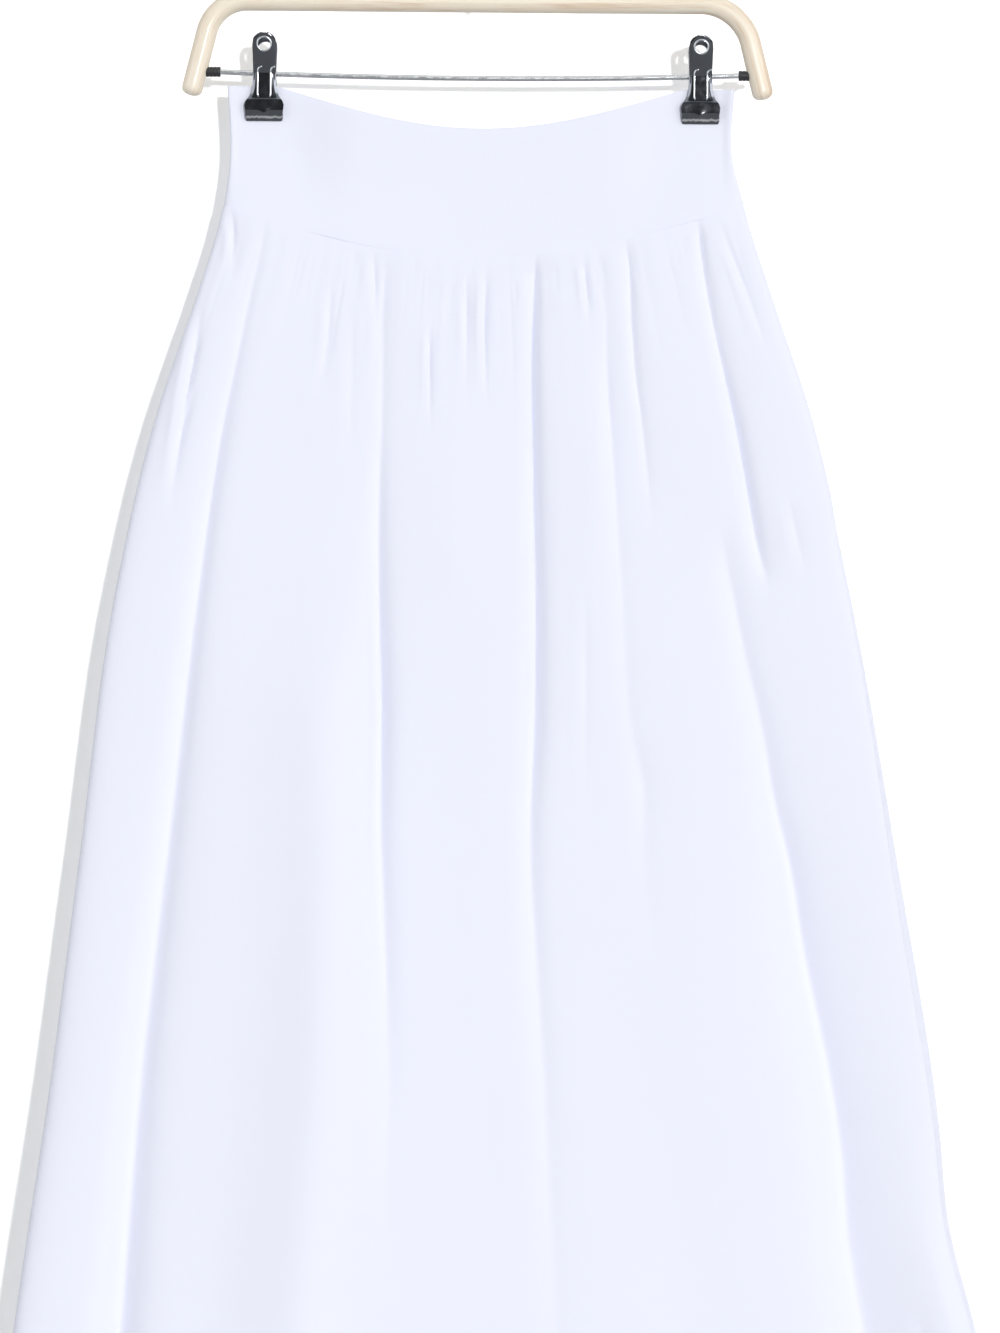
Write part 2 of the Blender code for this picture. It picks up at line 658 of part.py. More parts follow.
def make_clip(word, across, look, wire_look):
    for place, side in (("front", FRONT), ("back", BACK)):
        make_plate(f"clip_{word}_{place}", across, side, look)
        make_wire(f"clip_{word}_wire_{place}", across, side, wire_look)
    name = f"clip_{word}_spring"
    length = 2 * SPRING_HALF_LENGTH
    coil = ring_mesh(name, SPRING_RADIUS, ROD_RADIUS + GAP, length, ROUND_SIDES)
    spring = link(name, coil, wire_look)
    spring.location = (across, 0.0, -rod_drop(across))
    spring.rotation_euler = (0.0, -2 * ROD_BOW * across / CAP_INNER_END**2, 0.0)
    spring.data.shade_smooth()
    spring.data.set_sharp_from_angle(angle=SHARP_EDGE)


def main():
    for old in list(bpy.data.objects):
        bpy.data.objects.remove(old)
    yoke_cloth = material("yoke cloth", (0.86, 0.87, 0.92), 0.85)
    skirt_cloth = material("skirt cloth", (0.85, 0.87, 0.92), 0.9)
    bent_wood = material("bent wood", (0.80, 0.66, 0.50), 0.45)
    chrome = material("chrome wire", (0.72, 0.72, 0.74), 0.18, 1.0)
    clip_steel = material("clip steel", (0.12, 0.125, 0.14), 0.3, 1.0)
    black_rubber = material("black rubber", (0.02, 0.02, 0.02), 0.6)
    make_yoke("yoke_front", FRONT, yoke_cloth)
    make_yoke("yoke_back", BACK, yoke_cloth)
    make_skirt_panel("skirt_front", FRONT, FRONT_FOLDS, skirt_cloth)
    make_skirt_panel("skirt_back", BACK, BACK_FOLDS, skirt_cloth)
    cloth = list(bpy.data.objects)
    make_hook(chrome)
    make_frame(bent_wood)
    make_rod(chrome, black_rubber)
    make_clip("left", LEFT_CLIP_ACROSS, clip_steel, chrome)
    make_clip("right", RIGHT_CLIP_ACROSS, clip_steel, chrome)
    hanger = bpy.data.objects.new("hanger", None)
    hanger.rotation_euler = (0.0, HANGER_TILT, 0.0)
    for piece in list(bpy.data.objects):
        if piece not in cloth and piece is not hanger:
            piece.parent = hanger
    bpy.context.scene.collection.objects.link(hanger)


main()
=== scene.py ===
import math

import bpy
import numpy as np
from mathutils import Matrix


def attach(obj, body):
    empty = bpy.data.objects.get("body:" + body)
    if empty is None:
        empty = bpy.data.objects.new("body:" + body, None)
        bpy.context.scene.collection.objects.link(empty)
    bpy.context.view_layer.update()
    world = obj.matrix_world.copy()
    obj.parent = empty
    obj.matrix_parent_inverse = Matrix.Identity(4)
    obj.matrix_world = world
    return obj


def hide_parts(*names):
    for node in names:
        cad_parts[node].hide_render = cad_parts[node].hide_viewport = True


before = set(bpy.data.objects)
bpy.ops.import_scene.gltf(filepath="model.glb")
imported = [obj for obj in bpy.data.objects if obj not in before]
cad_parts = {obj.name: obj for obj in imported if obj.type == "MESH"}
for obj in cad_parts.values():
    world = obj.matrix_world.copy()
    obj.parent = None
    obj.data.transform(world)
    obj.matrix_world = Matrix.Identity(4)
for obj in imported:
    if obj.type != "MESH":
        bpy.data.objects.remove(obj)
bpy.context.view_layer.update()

print("frame loaded:", len(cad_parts), "nodes")


# Small helpers for numbers

def smoothStep(value):
    # 3v² - 2v³ between 0 and 1
    v = np.clip(value, 0.0, 1.0)
    return v * v * (3 - 2 * v)


def bell(distance):
    # exp(-distance²)
    return np.exp(-(distance**2))


def dip(distance, rounding):
    # exp(-distance), rounded to 1 in its middle
    return np.exp(rounding - np.hypot(distance, rounding))


def smoothLookup(at, places, values):
    # Cubic curve through the values, with the slope of its neighbours at each of them
    places, values = np.asarray(places, float), np.asarray(values, float)
    slopes = np.gradient(values, places)
    i = np.clip(np.searchsorted(places, at, side="right") - 1, 0, len(places) - 2)
    span = places[i + 1] - places[i]
    p = np.clip((at - places[i]) / span, 0.0, 1.0)
    return (
        (2 * p**3 - 3 * p**2 + 1) * values[i]
        + (p**3 - 2 * p**2 + p) * span * slopes[i]
        + (3 * p**2 - 2 * p**3) * values[i + 1]
        + (p**3 - p**2) * span * slopes[i + 1]
    )


def unit(vectors):
    return vectors / np.maximum(np.linalg.norm(vectors, axis=-1, keepdims=True), 1e-12)


def runAlong(line):
    # Length from the first point of a line to each of its points
    return np.concatenate([[0.0], np.cumsum(np.linalg.norm(np.diff(line, axis=0), axis=1))])


def arcPoints(centre, radius, first, last, steps):
    # Points (x, z) on a circle, from one angle in degrees to another
    a = np.radians(np.linspace(first, last, steps + 1))
    return np.column_stack([centre[0] + radius * np.cos(a), centre[1] + radius * np.sin(a)])


# Small helpers for meshes. A part is (points, faces, uv), and a piece is one or more parts

def placeNew(name, data):
    made = bpy.data.objects.new(name, data)
    bpy.context.scene.collection.objects.link(made)
    return made


def joinParts(parts):
    points, faces, uvs, first = [], [], [], 0
    for partPoints, partFaces, partUvs in parts:
        points.append(partPoints)
        uvs.append(partUvs)
        faces.extend([tuple(first + i for i in face) for face in partFaces])
        first += len(partPoints)
    return np.concatenate(points), faces, np.concatenate(uvs)


def makeMesh(name, points, faces, uvs, materials, sharpAngle):
    # Each corner has its point's flat coordinates, and all is smooth but edges over the angle
    mesh = bpy.data.meshes.new(name)
    mesh.from_pydata(points.tolist(), [], faces)
    mesh.update()
    corners = np.empty(len(mesh.loops), dtype=np.int32)
    mesh.loops.foreach_get("vertex_index", corners)
    mesh.uv_layers.new(name="flat").data.foreach_set("uv", uvs[corners].astype(np.float32).ravel())
    for material in materials:
        mesh.materials.append(material)
    mesh.shade_smooth()
    mesh.set_sharp_from_angle(angle=math.radians(sharpAngle))
    return mesh


def makePiece(name, parts, material, slotName, *nodes):
    # One object of joined parts, which stands for the nodes that are given
    piece = placeNew(name, makeMesh(name, *joinParts(parts), [material], 40))
    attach(piece, "root")
    if nodes:
        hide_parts(*nodes)
    return piece


def gridFaces(numbers, flip=False):
    # Four-sided faces between the rows and columns of one or more grids of point numbers
    low, high = numbers[..., :-1, :], numbers[..., 1:, :]
    quads = np.stack([low[..., :-1], low[..., 1:], high[..., 1:], high[..., :-1]], axis=-1).reshape(-1, 4)
    return (quads[:, ::-1] if flip else quads).tolist()


def rimOf(numbers):
    # The point numbers once round the edge of a grid
    return np.concatenate([numbers[0, :-1], numbers[:-1, -1], numbers[-1, :0:-1], numbers[:0:-1, 0]])


def shellPart(middle, uvs, thickness, side):
    # Closed thin shell about a grid of points: an outer face half the thickness out along the
    # normal, an inner face with every second row and column, and a strip that joins their edges
    normals = side * unit(np.cross(np.gradient(middle, axis=1), np.gradient(middle, axis=0)))
    outer = middle + normals * thickness / 2
    inner = (middle - normals * thickness / 2)[::2, ::2]
    rows, columns = middle.shape[:2]
    outerNumbers = np.arange(rows * columns).reshape(rows, columns)
    innerNumbers = rows * columns + np.arange(inner.shape[0] * inner.shape[1]).reshape(inner.shape[:2])
    flip = side < 0
    rim, innerRim = rimOf(outerNumbers), rimOf(innerNumbers)
    first, between, last = rim[::2], rim[1::2], np.roll(rim, -2)[::2]
    innerNext = np.roll(innerRim, -1)
    corners = ((innerRim, between, first), (innerRim, innerNext, between), (innerNext, last, between))
    strip = np.concatenate([np.column_stack(three) for three in corners])
    faces = gridFaces(outerNumbers, flip) + gridFaces(innerNumbers, not flip)
    faces += (strip[:, ::-1] if flip else strip).tolist()
    points = np.concatenate([outer.reshape(-1, 3), inner.reshape(-1, 3)])
    return points, faces, np.concatenate([uvs.reshape(-1, 2), uvs[::2, ::2].reshape(-1, 2)])


def tubePart(path, radii, sides, reference, loop=False):
    # Round profile carried along a path: each point of the path has a ring of points, square to
    # the path's direction there, with its zero angle turned to the reference direction
    path = np.asarray(path, float)
    count = len(path)
    radii = np.broadcast_to(np.asarray(radii, float), (count,))
    if loop:
        along = unit(np.roll(path, -1, axis=0) - np.roll(path, 1, axis=0))
    else:
        along = unit(np.gradient(path, axis=0))
    across = unit(np.cross(along, np.asarray(reference, float)))
    up = np.cross(across, along)
    a = 2 * math.pi * np.arange(sides) / sides
    spokes = np.cos(a)[None, :, None] * up[:, None] + np.sin(a)[None, :, None] * across[:, None]
    points = path[:, None] + radii[:, None, None] * spokes
    numbers = np.arange(count * sides).reshape(count, sides)
    wrapped = np.column_stack([numbers, numbers[:, 0]])
    if loop:
        faces = gridFaces(np.vstack([wrapped, wrapped[:1]]))
    else:
        faces = gridFaces(wrapped) + [numbers[0, ::-1].tolist(), numbers[-1].tolist()]
    uv = np.stack(np.broadcast_arrays(a[None, :] * radii.max(), runAlong(path)[:, None]), axis=-1)
    return points.reshape(-1, 3), faces, uv.reshape(-1, 2)


def roundEnds(path, radius, steps=5, shares=(True, True)):
    # Adds the rings of a half ball at the chosen ends of a path, and gives every ring's radius
    swing = np.radians(np.linspace(8, 90, steps))
    pieces, sizes = [path], [np.full(len(path), float(radius))]
    if shares[0]:
        out = unit(path[:1] - path[1:2])
        pieces.insert(0, path[0] + out * radius * (np.cos(swing)[:, None]))
        sizes.insert(0, radius * np.sin(swing))
    if shares[1]:
        out = unit(path[-1:] - path[-2:-1])
        pieces.append((path[-1] + out * radius * (np.cos(swing)[:, None]))[::-1])
        sizes.append((radius * np.sin(swing))[::-1])
    whole, wholeRadii = np.concatenate(pieces), np.concatenate(sizes)
    kept = np.concatenate([[True], np.linalg.norm(np.diff(whole, axis=0), axis=1) > 1e-7])
    return whole[kept], wholeRadii[kept]


# Small helpers for materials

def newMaterial(name):
    made = bpy.data.materials.new(name)
    made.use_nodes = True
    return made, made.node_tree, made.node_tree.nodes["Principled BSDF"]


def feed(tree, node, inputs):
    # Links each socket that is given to the node's input, or sets the input's own value
    for key, value in inputs.items():
        if isinstance(value, bpy.types.NodeSocket):
            tree.links.new(value, node.inputs[key])
        else:
            node.inputs[key].default_value = value


def addNode(tree, kind, inputs=None, **settings):
    node = tree.nodes.new("ShaderNode" + kind)
    for key, value in settings.items():
        setattr(node, key, value)
    feed(tree, node, inputs or {})
    return node


def mathNode(tree, operation, *values):
    return addNode(tree, "Math", dict(enumerate(values)), operation=operation).outputs[0]


def mixNode(tree, kind, share, first, second):
    # The mix node has its numbers on the inputs 2 and 3, and its colours on 6 and 7
    one, two, out = (2, 3, 0) if kind == "FLOAT" else (6, 7, 2)
    return addNode(tree, "Mix", {0: share, one: first, two: second}, data_type=kind).outputs[out]


def rangeNode(tree, value, source, target, kind="LINEAR"):
    # Carries a value from one range to another
    ends = {"From Min": source[0], "From Max": source[1], "To Min": target[0], "To Max": target[1]}
    return addNode(tree, "MapRange", {"Value": value, **ends}, interpolation_type=kind).outputs["Result"]


def noiseNode(tree, place, scale, detail, stretch=None, more=None):
    # Noise over coordinates that are first multiplied by the stretch
    if stretch is not None:
        place = addNode(tree, "Mapping", {"Vector": place, "Scale": stretch}).outputs[0]
    inputs = {"Vector": place, "Scale": scale, "Detail": detail, **(more or {})}
    return addNode(tree, "TexNoise", inputs).outputs["Fac"]


def bumpNode(tree, height, distance, strength):
    return addNode(tree, "Bump", {"Height": height, "Distance": distance, "Strength": strength}).outputs[0]


def flatPlace(tree):
    return addNode(tree, "UVMap", uv_map="flat").outputs[0]


def objectPlace(tree):
    return addNode(tree, "TexCoord").outputs["Object"]


def newGroup(name, inputs, outputs):
    # A shader node group. Inputs are (name, kind, value) and outputs are names of numbers
    group = bpy.data.node_groups.new(name, "ShaderNodeTree")
    for label, kind, value in inputs:
        socket = group.interface.new_socket(label, in_out="INPUT", socket_type="NodeSocket" + kind)
        if value is not None:
            socket.default_value = value
    for label in outputs:
        group.interface.new_socket(label, in_out="OUTPUT", socket_type="NodeSocketFloat")
    return group, group.nodes.new("NodeGroupInput").outputs, group.nodes.new("NodeGroupOutput")


def makeWeaveGroup():
    # Plain weave: threads over and under as sin(x)·sin(y), thickened unevenly by stretched noise
    inputs = (("Vector", "Vector", None), ("Threads", "Float", 2600.0), ("Slub", "Float", 0.35))
    group, given, out = newGroup("plainWeave", inputs, ("Height", "Tone"))
    split = addNode(group, "SeparateXYZ", {0: given["Vector"]})
    waves = []
    for axis in ("X", "Y"):
        turns = mathNode(group, "MULTIPLY", split.outputs[axis], given["Threads"])
        waves.append(mathNode(group, "SINE", mathNode(group, "MULTIPLY", turns, math.pi)))
    crossed = mathNode(group, "MULTIPLY", *waves)
    stretches = ((1100.0, 26.0, 1.0), (34.0, 1300.0, 1.0))
    slubs = [noiseNode(group, given["Vector"], 1.0, 2.0, stretch) for stretch in stretches]
    uneven = mathNode(group, "ADD", *slubs)
    height = mixNode(group, "FLOAT", given["Slub"], crossed, uneven)
    feed(group, out, {"Height": height, "Tone": mathNode(group, "MULTIPLY", uneven, 0.5)})
    return group


def makeHandledMetalGroup():
    # Fine rubbed scratches along one axis and cloudy finger marks, as a roughness and a height
    inputs = (
        ("Vector", "Vector", None), ("Stretch", "Vector", (900.0, 900.0, 60.0)),
        ("Smooth", "Float", 0.10), ("Dull", "Float", 0.30),
    )
    group, given, out = newGroup("handledMetal", inputs, ("Roughness", "Height"))
    fine = noiseNode(group, given["Vector"], 3.0, 3.0, given["Stretch"], {"Roughness": 0.6})
    clouds = noiseNode(group, given["Vector"], 170.0, 2.0)
    mixed = mixNode(group, "FLOAT", 0.5, fine, clouds)
    rough = rangeNode(group, mixed, (0.35, 0.65), (given["Smooth"], given["Dull"]))
    feed(group, out, {"Roughness": rough, "Height": fine})
    return group


weaveGroup = makeWeaveGroup()
metalGroup = makeHandledMetalGroup()

# Cloths: colour, threads in a metre, and how far they stand out. Their weave comes from the flat
# coordinates of each piece, in metres
cloths = {
    "skirtCloth": ((0.868, 0.880, 0.992), 2600.0, 0.00006),
    "yokeCloth": ((0.868, 0.880, 0.992), 3000.0, 0.00005),
    "sewingThread": ((0.86, 0.87, 0.97), 9000.0, 0.00003),
}
clothFinish = {
    "shade": 0.985,            # of the colour, where the threads are thin
    "slub": 0.4,
    "relief": 0.35,
    "roughness": 0.88,
    "specular": 0.2,
    "sheen": 0.04,
    "sheenRoughness": 0.5,
}


def makeClothMaterial(name):
    made, tree, shader = newMaterial(name)
    colour, threads, depth = cloths[name]
    inputs = {"Vector": flatPlace(tree), "Threads": threads, "Slub": clothFinish["slub"]}
    weave = addNode(tree, "Group", inputs, node_tree=weaveGroup).outputs
    shaded = [c * clothFinish["shade"] for c in colour]
    feed(tree, shader, {
        "Base Color": mixNode(tree, "RGBA", weave["Tone"], (*shaded, 1), (*colour, 1)),
        "Normal": bumpNode(tree, weave["Height"], depth, clothFinish["relief"]),
        "Roughness": clothFinish["roughness"],
        "Specular IOR Level": clothFinish["specular"],
        "Sheen Weight": clothFinish["sheen"],
        "Sheen Roughness": clothFinish["sheenRoughness"],
    })
    return made


# Metals: colour, roughness where smooth and where dull, and how the scratches are stretched
metals = {
    "chromeWire": ((0.74, 0.75, 0.77), 0.08, 0.20, (60.0, 900.0, 900.0)),
    "smokedChrome": ((0.15, 0.155, 0.175), 0.07, 0.17, (900.0, 900.0, 90.0)),
    "springWire": ((0.66, 0.68, 0.72), 0.12, 0.26, (900.0, 900.0, 90.0)),
    "satinRod": ((0.60, 0.605, 0.62), 0.20, 0.34, (60.0, 900.0, 900.0)),
}
scratches = {"depth": 0.00002, "relief": 0.3}


def makeMetalMaterial(name):
    made, tree, shader = newMaterial(name)
    colour, smooth, dull, stretch = metals[name]
    inputs = {"Vector": objectPlace(tree), "Stretch": stretch, "Smooth": smooth, "Dull": dull}
    marks = addNode(tree, "Group", inputs, node_tree=metalGroup).outputs
    feed(tree, shader, {
        "Base Color": (*colour, 1),
        "Metallic": 1.0,
        "Roughness": marks["Roughness"],
        "Normal": bumpNode(tree, marks["Height"], scratches["depth"], scratches["relief"]),
    })
    return made


# Painted highlight on the clip's jaw: where its line runs, how it wanders, and its lighter colour
jawHighlight = {
    "height": -0.0322,         # from the rod's axis to the painted highlight line on the jaw's lip
    "halfWidth": 0.0014,
    "wander": 0.003,
    "colour": (0.80, 0.81, 0.84),
}


def makeClipMaterial():
    # Smoked chrome, with a painted highlight: a lighter colour in a narrow uneven line along the lip of the
    # jaw
    made = makeMetalMaterial("smokedChrome")
    tree = made.node_tree
    uv = flatPlace(tree)
    height = addNode(tree, "SeparateXYZ", {0: uv}).outputs["Y"]
    marks = noiseNode(tree, uv, 320.0, 3.0)
    lowest = jawHighlight["height"] - jawHighlight["wander"] / 2
    line = mathNode(tree, "MULTIPLY_ADD", marks, jawHighlight["wander"], lowest)
    away = mathNode(tree, "ABSOLUTE", mathNode(tree, "SUBTRACT", height, line))
    bright = rangeNode(tree, away, (0.0, jawHighlight["halfWidth"]), (1.0, 0.0), "SMOOTHSTEP")
    # The painted highlight: the base colour is lighter along the line
    tint = mixNode(tree, "RGBA", bright, (*metals["smokedChrome"][0], 1), (*jawHighlight["colour"], 1))
    feed(tree, tree.nodes["Principled BSDF"], {"Base Color": tint})
    return made


woodFinish = {
    # How the grain and the pores are stretched, and their detail
    "layers": (((150.0, 7.0, 1.0), 4.0), ((1500.0, 45.0, 1.0), 2.0)),
    "warp": 0.4,
    "pores": 0.35,             # share of the pores in the mix
    "stops": ((0.34, (0.72, 0.55, 0.41)), (0.47, (0.88, 0.765, 0.62)), (0.62, (0.93, 0.85, 0.73))),
    "depth": 0.0001,
    "relief": 0.25,
    "roughness": 0.42,
    "coat": 0.25,
    "coatRoughness": 0.2,
}


def makeWoodMaterial():
    # Long grain along the stick: noise stretched along it, and finer pores over that
    made, tree, shader = newMaterial("bentWood")
    uv = flatPlace(tree)
    warp = {"Distortion": woodFinish["warp"]}
    layers = [noiseNode(tree, uv, 1.0, detail, stretch, warp) for stretch, detail in woodFinish["layers"]]
    grain = mixNode(tree, "FLOAT", woodFinish["pores"], *layers)
    ramp = addNode(tree, "ValToRGB", {"Fac": grain})
    for i, (place, colour) in enumerate(woodFinish["stops"]):
        stop = ramp.color_ramp.elements[i] if i < 2 else ramp.color_ramp.elements.new(place)
        stop.position = place
        stop.color = (*colour, 1)
    feed(tree, shader, {
        "Base Color": ramp.outputs[0],
        "Normal": bumpNode(tree, grain, woodFinish["depth"], woodFinish["relief"]),
        "Roughness": woodFinish["roughness"],
        "Coat Weight": woodFinish["coat"],
        "Coat Roughness": woodFinish["coatRoughness"],
    })
    return made


rubberFinish = {
    "colour": (0.02, 0.02, 0.022),
    "grain": 1800.0,
    "roughness": (0.42, 0.62),
    "depth": 0.00005,
    "relief": 0.4,
}


def makeRubberMaterial():
    made, tree, shader = newMaterial("blackRubber")
    noise = noiseNode(tree, objectPlace(tree), rubberFinish["grain"], 2.0)
    feed(tree, shader, {
        "Base Color": (*rubberFinish["colour"], 1),
        "Roughness": rangeNode(tree, noise, (0.3, 0.7), rubberFinish["roughness"]),
        "Normal": bumpNode(tree, noise, rubberFinish["depth"], rubberFinish["relief"]),
    })
    return made


clothLook = makeClothMaterial("skirtCloth")
yokeLook = makeClothMaterial("yokeCloth")
threadLook = makeClothMaterial("sewingThread")
chromeLook = makeMetalMaterial("chromeWire")
clipLook = makeClipMaterial()
springLook = makeMetalMaterial("springWire")
rodLook = makeMetalMaterial("satinRod")
woodLook = makeWoodMaterial()
rubberLook = makeRubberMaterial()
print("materials made")


# The flattened tube in which the cloth hangs, in metres. The front faces -Y
tubeForm = {
    "gap": 0.0003,             # between pieces that are sewn together
    "topDrop": 0.142,          # from the hook's inner top to the yoke's top edge
    "yokeDepth": 0.087,
    "skirtDrop": 0.913,
    "topSag": 0.030,           # how far the top edge droops between the clips
    "topSagReach": 0.80,
    "topTilt": 0.0014,         # how much lower the top edge's right end hangs
    "seamSag": 0.038,
    "hemSag": 0.030,
    "pinchAcross": 0.159,      # from the middle to where the clips grip the yokes
    "pinchDepth": 0.0010,      # half the room between the yokes there
    "pinchHalfWidth": 0.0160,
    "pinchRampIn": 0.055,
    "pinchRampOut": 0.012,
    "pinchDrop": 0.030,
    "sideFade": 0.035,         # share of the width, at each side, over which the folds come in
    "ovalPoints": 3001,        # on each level oval, and how much its depth counts in its length
    "ovalDepth": 0.12,
    # Drop below the top edge, half width to the left and right, half depth, squareness
    "sections": (
        (0.000, 0.184, 0.184, 0.0065, 6.0),
        (0.047, 0.182, 0.182, 0.0085, 6.0),
        (0.087, 0.187, 0.191, 0.0130, 6.5),
        (0.156, 0.207, 0.212, 0.018, 7.5),
        (0.236, 0.234, 0.238, 0.022, 9.0),
        (0.367, 0.2645, 0.268, 0.027, 10.0),
        (0.564, 0.2905, 0.303, 0.032, 11.0),
        (0.761, 0.316, 0.334, 0.036, 11.0),
        (0.825, 0.326, 0.340, 0.037, 11.0),
        (0.906, 0.338, 0.360, 0.038, 11.0),
        (1.000, 0.352, 0.378, 0.040, 11.0),
    ),
}
front, back = -1, 1


def sagAt(across, drops):
    # Cosine droops of the top edge, the seam and the hem, blended between them
    reached = np.clip(np.abs(across) / tubeForm["topSagReach"], 0, 1)
    top = tubeForm["topSag"] * np.cos(reached * math.pi / 2) + tubeForm["topTilt"] * across
    middle = np.cos(across * math.pi / 2)
    seam, hem = tubeForm["seamSag"] * middle, tubeForm["hemSag"] * middle
    inYoke = np.clip(drops / tubeForm["yokeDepth"], 0, 1)
    inSkirt = np.clip((drops - tubeForm["yokeDepth"]) / tubeForm["skirtDrop"], 0, 1)
    return top * (1 - inYoke) + (seam * (1 - inSkirt) + hem * inSkirt) * inYoke


def ovalRows(shares, squareness):
    # Half an oval, |across|^n + out^n = 1, walked from left to right by its length
    angle = np.linspace(0, math.pi, tubeForm["ovalPoints"])
    power = 2 / squareness[:, None]
    across = -np.sign(np.cos(angle)) * np.abs(np.cos(angle)) ** power
    out = np.clip(np.sin(angle), 0, 1) ** power
    run = np.cumsum(np.hypot(np.diff(across), tubeForm["ovalDepth"] * np.diff(out)), axis=1)
    run = np.column_stack([np.zeros(len(run)), run]) / run[:, -1:]
    rows = [(np.interp(shares, r, a), np.interp(shares, r, o)) for r, a, o in zip(run, across, out)]
    return np.array([r[0] for r in rows]), np.array([r[1] for r in rows])


def tubeRows(side, drops, shares):
    # The plain tube as rows of points: places across, level x and y, and the way out
    table = np.array(tubeForm["sections"])
    halfLeft, halfRight, halfDepth, squareness = (
        smoothLookup(drops, table[:, 0], table[:, k]) for k in range(1, 5)
    )
    across, out = ovalRows(shares, squareness)
    halfWidth = np.where(across < 0, halfLeft[:, None], halfRight[:, None])
    x = halfWidth * across
    pastClip = np.abs(x) - tubeForm["pinchAcross"]
    ramp = np.where(pastClip < 0, tubeForm["pinchRampIn"], tubeForm["pinchRampOut"])
    gripped = 1 - smoothStep((np.abs(pastClip) - tubeForm["pinchHalfWidth"]) / ramp)
    below = (drops - tubeForm["pinchDrop"]) / (tubeForm["yokeDepth"] - tubeForm["pinchDrop"])
    gripped *= 1 - smoothStep(below)[:, None]
    depth = halfDepth[:, None] + (tubeForm["pinchDepth"] - halfDepth[:, None]) * gripped
    y = side * (tubeForm["gap"] / 2 + out * depth)
    wayOut = side * unit(np.stack([-np.gradient(y, axis=1), np.gradient(x, axis=1)], axis=-1))
    return across, halfWidth, x, y, wayOut


def clothMiddle(side, drops, shares, pushOf):
    # The cloth's middle surface: the plain tube, pushed out or in, hung at its height
    across, halfWidth, x, y, wayOut = tubeRows(side, drops, shares)
    push = pushOf(across, halfWidth, drops[:, None], shares[None, :])
    fade = tubeForm["sideFade"]
    push = push * smoothStep(shares / fade) * smoothStep((1 - shares) / fade)
    x = x + wayOut[..., 0] * push
    y = y + wayOut[..., 1] * push
    z = -tubeForm["topDrop"] - drops[:, None] - sagAt(across, drops[:, None])
    return np.stack([x, y, z], axis=-1)


def flatGrid(across, down):
    # Flat coordinates of a grid of points: how far across and down each column and row lies
    return np.stack(np.broadcast_arrays(across[None, :], -down[:, None]), axis=-1)


# Yoke: a smooth band, flat but for faint ripples
yokeForm = {
    "thickness": 0.0014,
    "rows": 49,
    "columns": 241,
    "ripple": 0.0003,
    "edgeRoll": 0.0022,        # how far from its top edge the band rolls in
    "rollDepth": 0.00015,
    "seamRoll": 0.0003,        # and its lower edge, where the skirt is sewn on
    "flatWidth": 0.392,
    "flatDepth": 0.100,
}


def makeYoke(name, side, node):
    # Its rows lie closer together at the top edge and at the seam
    shares, even = np.linspace(0, 1, yokeForm["columns"]), np.linspace(0, 1, yokeForm["rows"])
    drops = (smoothStep(even) * 0.5 + even * 0.5) * tubeForm["yokeDepth"]

    def pushOf(across, halfWidth, drop, share):
        # Long faint ripples as products of sines, and both edges rolled in as a bell
        part = drop / tubeForm["yokeDepth"]
        ripple = np.sin(9 * across + 1.3 * side + 2 * part) * np.sin(math.pi * part)
        ripple = ripple + 0.6 * np.sin(23 * across + 0.7 + 1.5 * part) * part
        fromSeam = (1 - part) * tubeForm["yokeDepth"]
        roll = yokeForm["rollDepth"] * bell(drop / yokeForm["edgeRoll"])
        roll = roll + yokeForm["seamRoll"] * bell(fromSeam / yokeForm["edgeRoll"])
        return yokeForm["ripple"] * ripple - roll

    middle = clothMiddle(side, drops, shares, pushOf)
    middle[-1, :, 2] += tubeForm["gap"] / 2
    flat = flatGrid(shares * yokeForm["flatWidth"], drops)
    shell = shellPart(middle, flat, yokeForm["thickness"], side)
    return makePiece(name, [shell], yokeLook, "cloth", node)


# Skirt panels: the gathers under the seam, the long folds and the finer creases
skirtForm = {
    "thickness": 0.0010,
    "rows": 161,
    "columns": 481,
    "rowGrowth": 1.35,
    "tuck": 0.0003,            # of the top edge behind the yoke, and how far in and down that shows
    "tuckDepth": 0.00015,
    "tuckReach": 0.0030,
    "flatWidth": 0.790,
    "flatLength": 0.925,
    "shadeShift": 0.0025,      # how far left of its shade a valley lies
    "nearness": 0.989,         # places across shrink, because the front is nearer than the outline
    "swell": 0.0010,           # soft waves over all of it, and finer ones from some way down
    "ripple": 0.0003,
    "rippleReach": 0.15,
}
foldForm = {
    "troughRound": 0.4,        # how far the bottom is rounded, in widths
    "valleyRound": 0.6,
    "valleyGrowth": 2.4,       # how much wider than its width the narrow valley grows by the hem
    "lip": 0.08,               # height of the ridge left of a valley, as a share of its depth
    "lipAway": 2.2,            # its place and its width, in widths of the valley
    "lipWidth": 1.5,
    "pressed": 0.85,           # share of a fold's depth that the seam presses flat, and how far down
    "pressedReach": 0.016,
}
creaseForm = {
    "valley": 0.8,             # share of the depth that goes in, and that of the ridge left of it
    "lip": 0.3,
    "valleyRound": 0.5,
    "lipAway": 2.4,
    "lipWidth": 1.6,
    "rise": 0.33,              # share of the route in which it deepens, and in which it ends
    "fall": 0.67,
}
